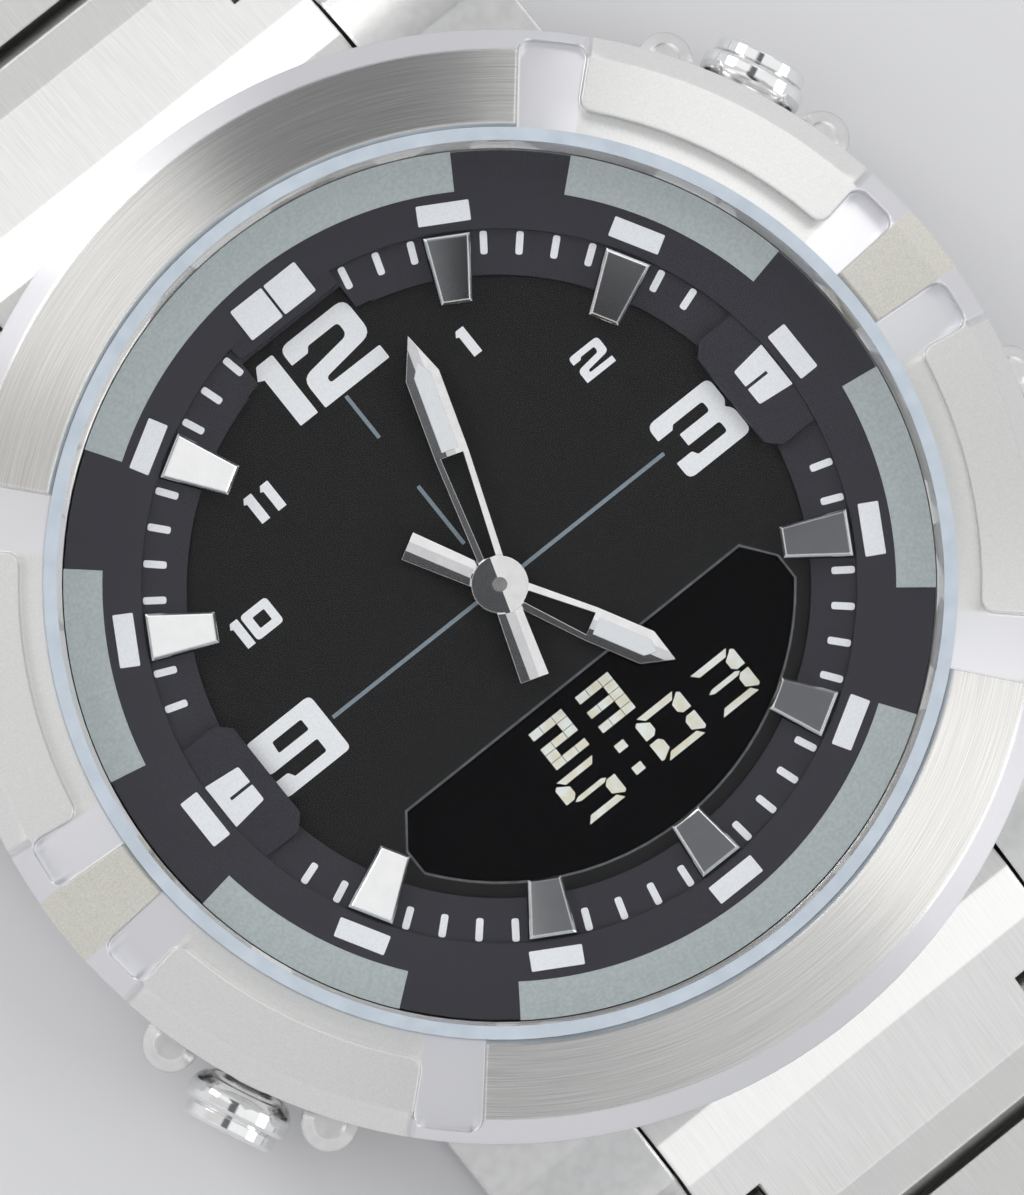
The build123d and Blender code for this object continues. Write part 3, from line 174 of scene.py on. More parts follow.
def bezelFinish():
    # one turned steel ring with four finishes: arcs brushed round the dial, which fan the light
    # out from its middle, satin side plates, finely blasted tabs, and smooth bevels and hollows
    zones = bezelZones
    material, tree, surface, place = newMaterial("turnedBezelSteel", Metallic=1.0, Anisotropic=0.9)
    axes = addNode(tree, "ShaderNodeSeparateXYZ", {0: place}).outputs
    flat = addNode(tree, "ShaderNodeCombineXYZ", {0: axes[0], 1: axes[1]})
    reach = addNode(tree, "ShaderNodeVectorMath", {0: flat}, operation="LENGTH").outputs["Value"]
    reachMm = addNode(tree, "ShaderNodeMath", {0: reach, 1: 1 / mm}, operation="MULTIPLY")
    sideways = addNode(tree, "ShaderNodeMath", {0: axes[0]}, operation="ABSOLUTE")
    upright = addNode(tree, "ShaderNodeMath", {0: axes[1]}, operation="ABSOLUTE")
    turn = addNode(tree, "ShaderNodeMath", {0: sideways, 1: upright}, operation="ARCTAN2")
    angle = addNode(tree, "ShaderNodeMath", {0: turn}, operation="DEGREES")
    inArc = addNode(tree, "ShaderNodeMath", {0: angle, 1: zones["arcEnd"]}, operation="LESS_THAN")
    plateMiddle = (zones["plateStart"] + zones["plateEnd"]) / 2
    inPlate = addNode(tree, "ShaderNodeMath", {0: angle, 1: plateMiddle, 2: zones["plateEnd"] - plateMiddle},
                      operation="COMPARE")
    inTab = addNode(tree, "ShaderNodeMath", {0: angle, 1: zones["tabStart"]}, operation="GREATER_THAN")
    inside = addNode(tree, "ShaderNodeMath", {0: reachMm, 1: zones["bevelRadius"]}, operation="LESS_THAN")
    arcTop = addNode(tree, "ShaderNodeMath", {0: inside, 1: inArc}, operation="MULTIPLY")
    scratch = addNode(tree, "ShaderNodeTexNoise", {"Vector": grainVector(tree, place, "round", zones["scratchGrain"]),
                                                  "Scale": 1.0, "Detail": 3.0})
    blast = addNode(tree, "ShaderNodeTexNoise", {"Vector": place, "Scale": 1 / (zones["blastGrain"] * mm),
                                                "Detail": 2.0})
    # roughness: that of the hollows everywhere, then each finish over it
    rough = addNode(tree, "ShaderNodeMix", {"Factor": arcTop, "A": zones["hollowRough"], "B": zones["arcRough"]})
    rough = addNode(tree, "ShaderNodeMix", {"Factor": inPlate, "A": rough, "B": zones["plateRough"]})
    rough = addNode(tree, "ShaderNodeMix", {"Factor": inTab, "A": rough, "B": zones["tabRough"]})
    tree.links.new(rough.outputs[0], surface.inputs["Roughness"])
    brushedTone = setStops(addNode(tree, "ShaderNodeValToRGB", {"Fac": scratch.outputs["Fac"]}),
                           [(0.25, "#DEDDDA"), (0.75, "#FBFAF7")])
    blastTone = setStops(addNode(tree, "ShaderNodeValToRGB", {"Fac": blast.outputs["Fac"]}),
                         [(0.3, "#E6E4DA"), (0.7, "#F6F4EC")])
    satinTone = setStops(addNode(tree, "ShaderNodeValToRGB", {"Fac": blast.outputs["Fac"]}),
                         [(0.3, "#ECECEA"), (0.7, "#F5F5F3")])
    tone = addNode(tree, "ShaderNodeMix", {"Factor": arcTop, "A": hexColour("#EDEDF0"), "B": brushedTone},
                   data_type="RGBA")
    tone = addNode(tree, "ShaderNodeMix", {"Factor": inPlate, "A": tone.outputs[2], "B": satinTone}, data_type="RGBA")
    tone = addNode(tree, "ShaderNodeMix", {"Factor": inTab, "A": tone.outputs[2], "B": blastTone}, data_type="RGBA")
    tree.links.new(tone.outputs[2], surface.inputs["Base Color"])
    tree.links.new(addNode(tree, "ShaderNodeVectorMath", {0: flat}, operation="NORMALIZE").outputs[0],
                   surface.inputs["Tangent"])
    eased = easedEdge(tree, zones["edge"])
    brushDepth = addNode(tree, "ShaderNodeMath", {0: arcTop, 1: zones["scratchDepth"]}, operation="MULTIPLY")
    bump = addNode(tree, "ShaderNodeBump", {"Height": scratch.outputs["Fac"], "Strength": brushDepth,
                                            "Distance": bumps["scratch"] * mm, "Normal": eased})
    blastDepth = addNode(tree, "ShaderNodeMath", {0: inTab, 1: zones["blastDepth"]}, operation="MULTIPLY")
    bump = addNode(tree, "ShaderNodeBump", {"Height": blast.outputs["Fac"], "Strength": blastDepth,
                                            "Distance": bumps["grain"] * mm, "Normal": bump})
    tree.links.new(bump.outputs[0], surface.inputs["Normal"])
    return material


# the markers' facets: how far they are dished, as a slope, and their eased edge and the grain of
# their wear in mm
markerLook = {"dish": 0.13, "edge": 0.09, "rough": 0.07, "wearGrain": 0.8}


def markerFinish():
    # mirror-polished steel facets, each dished a little towards the dial's middle, so that the
    # nine of them mirror nine different parts of the studio
    material, tree, surface, place = newMaterial("mirrorFacetSteel", Metallic=1.0, Roughness=markerLook["rough"])
    wear = addNode(tree, "ShaderNodeTexNoise", {"Vector": place, "Scale": 1 / (markerLook["wearGrain"] * mm),
                                               "Detail": 2.0})
    tone = setStops(addNode(tree, "ShaderNodeValToRGB", {"Fac": wear.outputs["Fac"]}),
                    [(0.3, "#F4F5F6"), (0.7, "#FAFAFA")])
    tree.links.new(tone.outputs[0], surface.inputs["Base Color"])
    axes = addNode(tree, "ShaderNodeSeparateXYZ", {0: place}).outputs
    flat = addNode(tree, "ShaderNodeCombineXYZ", {0: axes[0], 1: axes[1]})
    outward = addNode(tree, "ShaderNodeVectorMath", {0: flat}, operation="NORMALIZE")
    tilt = addNode(tree, "ShaderNodeVectorMath", {0: outward, "Scale": -markerLook["dish"]}, operation="SCALE")
    eased = easedEdge(tree, markerLook["edge"])
    leaning = addNode(tree, "ShaderNodeVectorMath", {0: eased, 1: tilt}, operation="ADD")
    leaning = addNode(tree, "ShaderNodeVectorMath", {0: leaning}, operation="NORMALIZE")
    tree.links.new(leaning.outputs[0], surface.inputs["Normal"])
    return material


# clock angles at which the hands rest, in degrees; hub radius, eased edge and grain of wear in mm;
# the hub's lean as a slope, and the share of their real slope that the facets keep in shading
handLook = {"minute": 18.0, "hour": 151.5, "hubRadius": 1.25, "hubLean": 0.12, "facetShare": 0.46, "edge": 0.04,
            "rough": 0.1, "wearGrain": 0.7}


def handFinish(name, heading):
    # polished steel hand: lapped facets that fall only a little from the ridge, which runs on over
    # the flat hub, so that one side mirrors the light of the studio and the other its dark card
    material, tree, surface, place = newMaterial(name, Metallic=1.0, Roughness=handLook["rough"])
    wear = addNode(tree, "ShaderNodeTexNoise", {"Vector": place, "Scale": 1 / (handLook["wearGrain"] * mm),
                                               "Detail": 2.0})
    tone = setStops(addNode(tree, "ShaderNodeValToRGB", {"Fac": wear.outputs["Fac"]}),
                    [(0.3, "#ECECEC"), (0.7, "#F6F6F6")])
    tree.links.new(tone.outputs[0], surface.inputs["Base Color"])
    flat = addNode(tree, "ShaderNodeVectorMath", {0: place, 1: (1, 1, 0)}, operation="MULTIPLY")
    reach = addNode(tree, "ShaderNodeVectorMath", {0: flat}, operation="LENGTH").outputs["Value"]
    hub = addNode(tree, "ShaderNodeMath", {0: reach, 1: handLook["hubRadius"] * mm}, operation="LESS_THAN")
    right = (cos(radians(heading)), -sin(radians(heading)), 0)
    across = addNode(tree, "ShaderNodeVectorMath", {0: place, 1: right}, operation="DOT_PRODUCT").outputs["Value"]
    half = addNode(tree, "ShaderNodeMath", {0: across}, operation="SIGN")
    half = addNode(tree, "ShaderNodeMath", {0: half, 1: hub}, operation="MULTIPLY")
    half = addNode(tree, "ShaderNodeMath", {0: half, 1: handLook["hubLean"]}, operation="MULTIPLY")
    tilt = addNode(tree, "ShaderNodeVectorMath", {0: right, "Scale": half}, operation="SCALE")
    # the hub's lean turns with the hand
    tilt = addNode(tree, "ShaderNodeVectorTransform", {0: tilt}, convert_from="OBJECT", convert_to="WORLD")
    eased = easedEdge(tree, handLook["edge"])
    share = handLook["facetShare"]
    lapped = addNode(tree, "ShaderNodeVectorMath", {0: eased, 1: (share, share, 1)}, operation="MULTIPLY")
    leaning = addNode(tree, "ShaderNodeVectorMath", {0: lapped, 1: tilt}, operation="ADD")
    leaning = addNode(tree, "ShaderNodeVectorMath", {0: leaning}, operation="NORMALIZE")
    tree.links.new(leaning.outputs[0], surface.inputs["Normal"])
    return material


# satin case steel: blasted soft and handled smooth, so that its guards and lugs round off into light
caseSteel = speckled("satinCaseSteel", ("#E0E0DF", "#E8E8E7"), 0.6, 0.24, 0.01, metal=1.0, edge=0.22)
# the bracelet and the clasp are brushed lengthwise: soft, with bright edges; the case back is
# turned, so its scratches run round
linkSteel = brushedSteel("brushedLinkSteel", ("#E2E2E0", "#EDEDEB"), "y", rough=0.42, depth=0.04, edge=0.16)
backSteel = brushedSteel("turnedBackSteel", ("#C9C8C6", "#DCDBD9"), "round")
bladeSteel = brushedSteel("pressedBladeSteel", ("#D2D1CF", "#E2E1DF"), "y", rough=0.22)
bezelSteel = bezelFinish()
markerSteel = markerFinish()
minuteHandSteel = handFinish("polishedMinuteHand", handLook["minute"])
hourHandSteel = handFinish("polishedHourHand", handLook["hour"])
# polished steel and chrome mirror the studio in hard stripes, with hardly any texture of their own
polishedSteel = speckled("polishedSteel", ("#E4E4E3", "#EEEEED"), 1.5, 0.06, 0.01, metal=1.0, edge=0.06)
buttonSteel = speckled("chromedButtonSteel", ("#E9EAEA", "#F4F4F4"), 1.5, 0.05, 0.01, metal=1.0, edge=0.09)
# spring steel is drawn wire and strip, duller and warmer than the case
springSteel = speckled("springSteel", ("#9B9A98", "#A8A7A5"), 0.3, 0.25, 0.05, metal=1.0)
# gears and bushes turned from brass keep a soft yellow shine, and the coil's wire a darker red one
brass = speckled("turnedBrass", ("#B8934A", "#C9A55C"), 0.4, 0.25, 0.05, metal=1.0)
copper = speckled("lacqueredCopper", ("#9A5230", "#B0643C"), 0.06, 0.35, 0.3, metal=1.0)
# moulded rubber, dull and nearly black, swallows the light round the seals
blackRubber = speckled("blackRubber", ("#17171A", "#202024"), 0.08, 0.7, 0.2)
# pale moulded nylon lets light in a little, so it glows beside the glass
paleNylon = speckled("paleNylonGasket", ("#BFCAD5", "#CBD5DF"), 1.2, 0.3, 0.02)
# satin-painted moulding, nearly black with a violet cast
flangePlastic = speckled("charcoalFlange", ("#313138", "#3A3A41"), 0.08, 0.5, 0.08, **{"Specular IOR Level": 0.3})
# sprayed lacquer, matt and fine as paper, only just lighter than the display
dialLacquer = speckled("blackDialLacquer", ("#1D1D1E", "#232324"), 0.12, 0.45, 0.03, **{"Specular IOR Level": 0.2})
# luminous paint is thick and chalky, whiter and flatter than the steel round it
whiteLume = speckled("whiteLume", ("#E1E5E8", "#EAEDF0"), 0.06, 0.6, 0.1)
# the module's mouldings are grained black plastic, its board a glossy green laminate
blackMoulding = speckled("blackMoulding", ("#141416", "#1B1B1E"), 0.1, 0.5, 0.15)
laminate = speckled("greenLaminate", ("#0F3B24", "#14472C"), 0.2, 0.4, 0.1)
# the display's filter is smooth and darker than the dial, so that its window reads as a hole
displayGlass = speckled("displayGlass", ("#030304", "#060609"), 1.0, 0.15, 0.0, **{"Specular IOR Level": 0.08})
# the lamp's resin is clear cream, and the rotor's magnet a grey sintered ring
lampResin = speckled("lampResin", ("#E6DDA8", "#EFE8BE"), 0.2, 0.2, 0.05)
magnetIron = speckled("sinteredMagnet", ("#3A3A3E", "#46464B"), 0.08, 0.45, 0.2, metal=1.0)
# pad print: thick matt ink with a faint grain
printWhite = speckled("whitePadPrint", ("#EFF2F6", "#F9FBFD"), 0.1, 0.6, 0.05)
printGrey = speckled("greyPadPrint", ("#7C8A92", "#8896A0"), 0.1, 0.6, 0.05)
printSage = speckled("sagePadPrint", ("#B0B9B9", "#BDC6C6"), 0.15, 0.6, 0.05)
# a thin grey line of paint that catches just enough light to draw the window
windowEdge = speckled("windowEdgePaint", ("#55585B", "#6A6E71"), 0.3, 0.5, 0.05)
# lit segments let the backing through unevenly, from cream to cold white
segmentTone = speckled("displaySegment", ("#E9E4CE", "#F2F8F4"), 0.6, 0.5, 0.0)

# coated mineral glass: clear right through, with the light let in for the dial; its coating takes
# most of the mirroring away, as a lower index does
coatedIndex = 1.13
crystalGlass, glassTree, glassSurface = newMaterial(
    "coatedMineralGlass", **{"Roughness": 0.0, "IOR": coatedIndex, "Transmission Weight": 1.0})[:3]
glassLight = addNode(glassTree, "ShaderNodeLightPath").outputs
glassPass = addNode(glassTree, "ShaderNodeMath", {0: glassLight["Is Diffuse Ray"], 1: glassLight["Is Glossy Ray"]},
                    operation="MAXIMUM")
glassPass = addNode(glassTree, "ShaderNodeMath", {0: glassPass, 1: glassLight["Is Shadow Ray"]}, operation="MAXIMUM")
glassClear = addNode(glassTree, "ShaderNodeBsdfTransparent")
glassMix = addNode(glassTree, "ShaderNodeMixShader", {"Fac": glassPass, 1: glassSurface, 2: glassClear})
glassTree.links.new(glassMix.outputs[0], glassTree.nodes["Material Output"].inputs["Surface"])

finishes = {
    "brushed_case_steel": caseSteel, "turned_steel": backSteel, "bezel_steel": bezelSteel,
    "mineral_glass": crystalGlass, "pale_nylon": paleNylon, "black_rubber": blackRubber,
    "charcoal_plastic": flangePlastic, "dial_lacquer": dialLacquer, "polished_steel": polishedSteel,
    "white_lume": whiteLume, "display_glass": displayGlass, "conductive_rubber": blackRubber,
    "lamp_resin": lampResin, "black_moulding": blackMoulding, "spring_steel": springSteel,
    "circuit_laminate": laminate, "battery_steel": polishedSteel, "brass": brass, "copper_wire": copper,
    "rotor_magnet": magnetIron, "button_steel": buttonSteel, "satin_link_steel": linkSteel,
    "blade_steel": bladeSteel,
}
# pieces whose polish differs from the rest of their slot, and the arbor's plated tip
ownFinishes = {"hour_markers": markerSteel, "minute_hand": minuteHandSteel, "hour_hand": hourHandSteel,
               "centre_arbor": springSteel}
for entry in frame["record"]["subparts"]:
    materials = nodes[entry["node"]].data.materials
    materials.clear()
    materials.append(ownFinishes.get(entry["node"], finishes[entry["material_slot"]]))
print("finishes given to every node")


def meshObject(name, bm, material, body=None):
    # pieces are drawn in mm and become metres here
    for vert in bm.verts:
        vert.co *= mm
    mesh = bpy.data.meshes.new(name)
    bm.to_mesh(mesh)
    bm.free()
    piece = bpy.data.objects.new(name, mesh)
    bpy.context.scene.collection.objects.link(piece)
    if material:
        mesh.materials.append(material)
    if body:
        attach(piece, body)
    return piece


def addShape(bm, loops, low, high):
    # a closed plate over an outline and its holes, between two heights
    edges = []
    for loop in loops:
        ring = [bm.verts.new((x, y, low)) for x, y in loop]
        edges += [bm.edges.new(pair) for pair in zip(ring, ring[1:] + ring[:1])]
    filled = bmesh.ops.triangle_fill(bm, edges=edges, use_beauty=True)["geom"]
    base = [part for part in filled if isinstance(part, bmesh.types.BMFace)]
    raised = bmesh.ops.extrude_face_region(bm, geom=base, use_keep_orig=True)["geom"]
    for part in raised:
        if isinstance(part, bmesh.types.BMVert):
            part.co.z = high
    bmesh.ops.recalc_face_normals(bm, faces=bm.faces)


def softened(corners, steps=4, sideShare=0.48):
    # an outline whose corners (x, y, cut) are rounded over the length cut, but over no more than
    # this share of a side
    outline = []
    count = len(corners)
    for i, (x, y, cut) in enumerate(corners):
        if not cut:
            outline.append((x, y))
            continue
        corner = Vector((x, y))
        before = Vector(corners[i - 1][:2]) - corner
        after = Vector(corners[(i + 1) % count][:2]) - corner
        start = corner + before.normalized() * min(cut, before.length * sideShare)
        end = corner + after.normalized() * min(cut, after.length * sideShare)
        for k in range(steps + 1):
            t = k / steps
            point = start * (1 - t) ** 2 + corner * 2 * t * (1 - t) + end * t ** 2
            outline.append((point.x, point.y))
    return outline


def bar(x0, y0, x1, y1, cut=0.0):
    return softened([(x0, y0, cut), (x1, y0, cut), (x1, y1, cut), (x0, y1, cut)], 3)


# the flange under the glass: two cones with a step between them, radii and heights in mm
flange = {"lipRadius": 13.1, "lipTop": 8.6, "stepRadius": 15.0, "tierTop": 8.85, "stepTop": 9.1, "rimRadius": 18.0,
          "rimTop": 9.95, "film": 0.03}


def flangeHeight(radius):
    f = flange
    if radius < f["stepRadius"]:
        share = (radius - f["lipRadius"]) / (f["stepRadius"] - f["lipRadius"])
        return f["lipTop"] + share * (f["tierTop"] - f["lipTop"])
    share = (radius - f["stepRadius"]) / (f["rimRadius"] - f["stepRadius"])
    return f["stepTop"] + share * (f["rimTop"] - f["stepTop"])


def layOnFlange(bm):
    # drops every flat drawn point onto the sloping flange
    for vert in bm.verts:
        vert.co.z += flangeHeight(hypot(vert.co.x, vert.co.y))


# printed patches: radii in mm, and their steps and spans by clock angle in degrees
sagePatches = {"inner": 16.6, "outer": 18.04, "step": 1.5,
               "spans": [(-33.5, 32), (48, 78.5), (98.5, 129), (146, 216), (232, 261.5), (281.5, 310.5)]}
bm = bmesh.new()
for start, end in sagePatches["spans"]:
    count = int((end - start) / sagePatches["step"])
    turns = [radians(start + (end - start) * i / count) for i in range(count + 1)]
    for a, b in zip(turns, turns[1:]):
        corners = [(radius * sin(t), radius * cos(t)) for radius, t in
                   ((sagePatches["inner"], a), (sagePatches["inner"], b), (sagePatches["outer"], b),
                    (sagePatches["outer"], a))]
        lower = [bm.verts.new((x, y, -flange["film"])) for x, y in corners]
        upper = [bm.verts.new((x, y, flange["film"])) for x, y in corners]
        bm.faces.new(upper)
        bm.faces.new(lower[::-1])
        # the two rims, and the ends of the patch at its first and last step
        for i in [0, 2] + [3] * (a == turns[0]) + [1] * (b == turns[-1]):
            j = (i + 1) % 4
            bm.faces.new((lower[i], lower[j], upper[j], upper[i]))
layOnFlange(bm)
bmesh.ops.remove_doubles(bm, verts=bm.verts, dist=0.001)
bmesh.ops.recalc_face_normals(bm, faces=bm.faces)
meshObject("flangePatches", bm, printSage, "case")


def clockTree():
    # repeats one mark round the dial, leaving out the hours and the room round 3, 9 and 12
    tree = bpy.data.node_groups.new("marksRoundTheDial", "GeometryNodeTree")
    face = tree.interface
    face.new_socket("Mark", in_out="INPUT", socket_type="NodeSocketGeometry")
    for name, kind, value in (("Count", "NodeSocketInt", 60), ("Skip Every", "NodeSocketInt", 5),
                              ("Side Gap", "NodeSocketFloat", 9.0), ("Top Gap", "NodeSocketFloat", 3.0),
                              ("Finish", "NodeSocketMaterial", None)):
        socket = face.new_socket(name, in_out="INPUT", socket_type=kind)
        if value is not None:
            socket.default_value = value
    face.new_socket("Marks", in_out="OUTPUT", socket_type="NodeSocketGeometry")
    source = addNode(tree, "NodeGroupInput").outputs
    count = source["Count"]
    line = addNode(tree, "GeometryNodeMeshLine", {"Count": count, "Offset": (0, 0, 0)})
    points = addNode(tree, "GeometryNodeMeshToPoints", {"Mesh": line})
    index = addNode(tree, "GeometryNodeInputIndex")
    part = addNode(tree, "ShaderNodeMath", {0: index, 1: count}, operation="DIVIDE")
    turn = addNode(tree, "ShaderNodeMath", {0: part, 1: 2 * pi}, operation="MULTIPLY")
    rest = addNode(tree, "ShaderNodeMath", {0: index, 1: source["Skip Every"]}, operation="MODULO")
    onHour = addNode(tree, "ShaderNodeMath", {0: rest, 1: 0.5}, operation="LESS_THAN")
    across = addNode(tree, "ShaderNodeMath", {0: turn}, operation="SINE")
    across = addNode(tree, "ShaderNodeMath", {0: across}, operation="ABSOLUTE")
    sideGap = addNode(tree, "ShaderNodeMath", {0: source["Side Gap"]}, operation="RADIANS")
    sideEdge = addNode(tree, "ShaderNodeMath", {0: sideGap}, operation="COSINE")
    bySide = addNode(tree, "ShaderNodeMath", {0: across, 1: sideEdge}, operation="GREATER_THAN")
    topGap = addNode(tree, "ShaderNodeMath", {0: source["Top Gap"]}, operation="RADIANS")
    topEdge = addNode(tree, "ShaderNodeMath", {0: topGap}, operation="COSINE")
    height = addNode(tree, "ShaderNodeMath", {0: turn}, operation="COSINE")
    byTop = addNode(tree, "ShaderNodeMath", {0: height, 1: topEdge}, operation="GREATER_THAN")
    left = addNode(tree, "ShaderNodeMath", {0: onHour, 1: bySide}, operation="MAXIMUM")
    left = addNode(tree, "ShaderNodeMath", {0: left, 1: byTop}, operation="MAXIMUM")
    spin = addNode(tree, "ShaderNodeMath", {0: turn, 1: -1.0}, operation="MULTIPLY")
    spin = addNode(tree, "ShaderNodeCombineXYZ", {"Z": spin})
    # the turn is stored before points are left out, because that renumbers them
    held = addNode(tree, "GeometryNodeStoreNamedAttribute", {"Geometry": points, "Name": "turn", "Value": spin},
                   data_type="FLOAT_VECTOR", domain="POINT")
    kept = addNode(tree, "GeometryNodeDeleteGeometry", {"Geometry": held, "Selection": left})
    read = addNode(tree, "GeometryNodeInputNamedAttribute", {"Name": "turn"}, data_type="FLOAT_VECTOR")
    marks = addNode(tree, "GeometryNodeInstanceOnPoints", {"Points": kept, "Instance": source["Mark"],
                                                           "Rotation": read})
    real = addNode(tree, "GeometryNodeRealizeInstances", {"Geometry": marks})
    finished = addNode(tree, "GeometryNodeSetMaterial", {"Geometry": real, "Material": source["Finish"]})
    addNode(tree, "NodeGroupOutput", {"Marks": finished})
    return tree


dialTree = clockTree()


def repeatRound(name, mark, body, values):
    # runs the tree on one mark and keeps the result as a plain mesh
    modifier = mark.modifiers.new("marks", "NODES")
    modifier.node_group = dialTree
    for item in dialTree.interface.items_tree:
        if item.in_out == "INPUT" and item.name in values:
            modifier[item.identifier] = values[item.name]
    mark.update_tag()
    graph = bpy.context.evaluated_depsgraph_get()
    mesh = bpy.data.meshes.new_from_object(mark.evaluated_get(graph))
    piece = bpy.data.objects.new(name, mesh)
    bpy.context.scene.collection.objects.link(piece)
    mark.modifiers.remove(modifier)
    bpy.data.objects.remove(mark)
    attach(piece, body)


# marks that the tree repeats: radii, half width and rounding in mm, the number of places round the
# dial, which of them is skipped each time, and the angles kept free at 3, 9 and 12, in degrees
roundMarks = {
    "minuteTicks": {"mark": "tickMark", "inner": 13.95, "outer": 14.93, "half": 0.155, "corner": 0.12,
                    "places": 60, "skipEvery": 5, "sideGap": 15.0, "topGap": 8.0},
    "hourBlocks": {"mark": "blockMark", "inner": 15.35, "outer": 16.2, "half": 1.12, "corner": 0.06,
                   "places": 12, "skipEvery": 12, "sideGap": 9.0, "topGap": 9.0},
}
for name, m in roundMarks.items():
    bm = bmesh.new()
    addShape(bm, [bar(-m["half"], m["inner"], m["half"], m["outer"], m["corner"])], -flange["film"], flange["film"])
    layOnFlange(bm)
    repeatRound(name, meshObject(m["mark"], bm, None), "case",
                {"Count": m["places"], "Skip Every": m["skipEvery"], "Side Gap": m["sideGap"],
                 "Top Gap": m["topGap"], "Finish": printWhite})

# the pad under the two squares at 12 carries the upper cone inwards over the step
twelvePad = {"half": 2.62, "low": 14.12, "corner": 0.3, "top": 9.1, "backRadius": 15.1,
             "backTurns": (10, 5, 0, -5, -10)}
bm = bmesh.new()
padOutline = [(-twelvePad["half"], twelvePad["low"], twelvePad["corner"]),
              (twelvePad["half"], twelvePad["low"], twelvePad["corner"])]
padOutline += [(twelvePad["backRadius"] * sin(radians(t)), twelvePad["backRadius"] * cos(radians(t)), 0)
               for t in twelvePad["backTurns"]]
addShape(bm, [softened(padOutline)], flange["lipTop"], twelvePad["top"])
meshObject("twelvePad", bm, flangePlastic, "case")
# the lower cone's two ends beside the figures at 12
tierEnds = {"corners": [(2.62, 12.9, 0.08), (3.36, 12.75, 0), (3.36, 14.58, 0), (2.62, 14.73, 0)], "depth": 0.3,
            "rise": 0.005}
bm = bmesh.new()
for side in (-1, 1):
    outline = [(side * x, y) for x, y in softened(tierEnds["corners"])]
    addShape(bm, [outline], -tierEnds["depth"], tierEnds["rise"])
layOnFlange(bm)
meshObject("twelveTierEnds", bm, flangePlastic, "case")

# prints at 3 and 9, a bar over a wedge with a slit, and the two squares at 12, all in mm
sideBlocks = {"barInner": 15.3, "barOuter": 16.17, "barHalf": 1.13, "barCorner": 0.08, "blockInner": 13.29,
              "blockOuter": 14.92, "innerHalf": 0.87, "outerHalf": 1.06, "slitEnd": 14.38, "slitHalf": 0.07,
              "padTop": 9.0}
twelveSquares = {"spans": ((-1.71, -0.06), (0.06, 1.71)), "low": 14.46, "high": 15.96, "corner": 0.08}
b = sideBlocks
bm = bmesh.new()
for side in (-1, 1):
    outer = bar(b["barInner"], -b["barHalf"], b["barOuter"], b["barHalf"], b["barCorner"])
    addShape(bm, [[(side * x, y) for x, y in outer]], -flange["film"], flange["film"])
for left, right in twelveSquares["spans"]:
    square = bar(left, twelveSquares["low"], right, twelveSquares["high"], twelveSquares["corner"])
    addShape(bm, [square], -flange["film"], flange["film"])
for vert in bm.verts:
    vert.co.z += flangeHeight(max(hypot(vert.co.x, vert.co.y), flange["stepRadius"]))
for side in (-1, 1):
    # a wedge with a slit, open towards the dial
    wedge = softened([(b["blockInner"], b["slitHalf"], 0.05), (b["slitEnd"], b["slitHalf"], 0.0),
                      (b["slitEnd"], -b["slitHalf"], 0.0), (b["blockInner"], -b["slitHalf"], 0.05),
                      (b["blockInner"], -b["innerHalf"], 0.1), (b["blockOuter"], -b["outerHalf"], 0.06),
                      (b["blockOuter"], b["outerHalf"], 0.06), (b["blockInner"], b["innerHalf"], 0.1)])
    addShape(bm, [[(side * x, y) for x, y in wedge]], b["padTop"] - flange["film"], b["padTop"] + flange["film"])
meshObject("hourBlocksAtThreeNineTwelve", bm, printWhite, "case")
print("flange printed")

# wide squarish figures in mm, with their lower left corner at the origin: width, height, outline
# corners as (x, y, rounding) and a hole where there is one
figures = {
    "0": (1.39, 1.28, [(0, 0, 0.2), (1.39, 0, 0.2), (1.39, 1.28, 0.2), (0, 1.28, 0.2)],
          [(0.41, 0.36, 0.06), (1.02, 0.36, 0.06), (1.02, 0.92, 0.06), (0.41, 0.92, 0.06)]),
    "1": (1.2, 3.1, [(0.275, 0, 0.05), (1.2, 0, 0.05), (1.2, 3.1, 0.1), (0.335, 3.1, 0.08), (0, 2.56, 0.03),
                     (0.275, 2.435, 0.03)], None),
    "2": (3.475, 3.15, [(0, 0, 0.06), (3.435, 0, 0.06), (3.435, 0.67, 0.08), (0.84, 0.69, 0.12), (0.84, 0.98, 0.2),
                        (3.475, 1.29, 0.5), (3.475, 3.15, 0.5), (0, 3.15, 0.45), (0, 2.26, 0.05), (0.85, 2.26, 0.04),
                        (1.05, 2.5, 0.08), (2.635, 2.5, 0.2), (2.635, 1.85, 0.3), (0, 1.55, 0.5)], None),
    "3": (3.39, 2.865, [(0.035, 0, 0.35), (3.39, 0, 0.35), (3.39, 1.2, 0.25), (3.125, 1.49, 0.05), (3.325, 1.72, 0.15),
                        (3.325, 2.865, 0.35), (0, 2.865, 0.4), (0, 2.065, 0.05), (0.775, 2.065, 0.03),
                        (0.925, 2.24, 0.05), (2.515, 2.24, 0.16), (2.515, 1.74, 0.16), (0.89, 1.74, 0.05),
                        (0.89, 1.14, 0.05), (2.565, 1.14, 0.16), (2.565, 0.605, 0.16), (1.0, 0.605, 0.08),
                        (0.85, 0.865, 0.06), (0.035, 0.865, 0.05)], None),
    "9": (3.455, 2.81, [(0, 0, 0.27), (3.455, 0, 0.25), (3.455, 2.81, 0.3), (0, 2.81, 0.27), (0, 1.185, 0.3),
                        (2.58, 1.185, 0.1), (2.58, 0.525, 0.12), (0.89, 0.525, 0.05), (0.72, 0.825, 0.1),
                        (0, 0.825, 0.05)], [(0.95, 1.695, 0.08), (2.55, 1.695, 0.1), (2.55, 2.235, 0.1),
                                            (1.0, 2.235, 0.1)]),
}
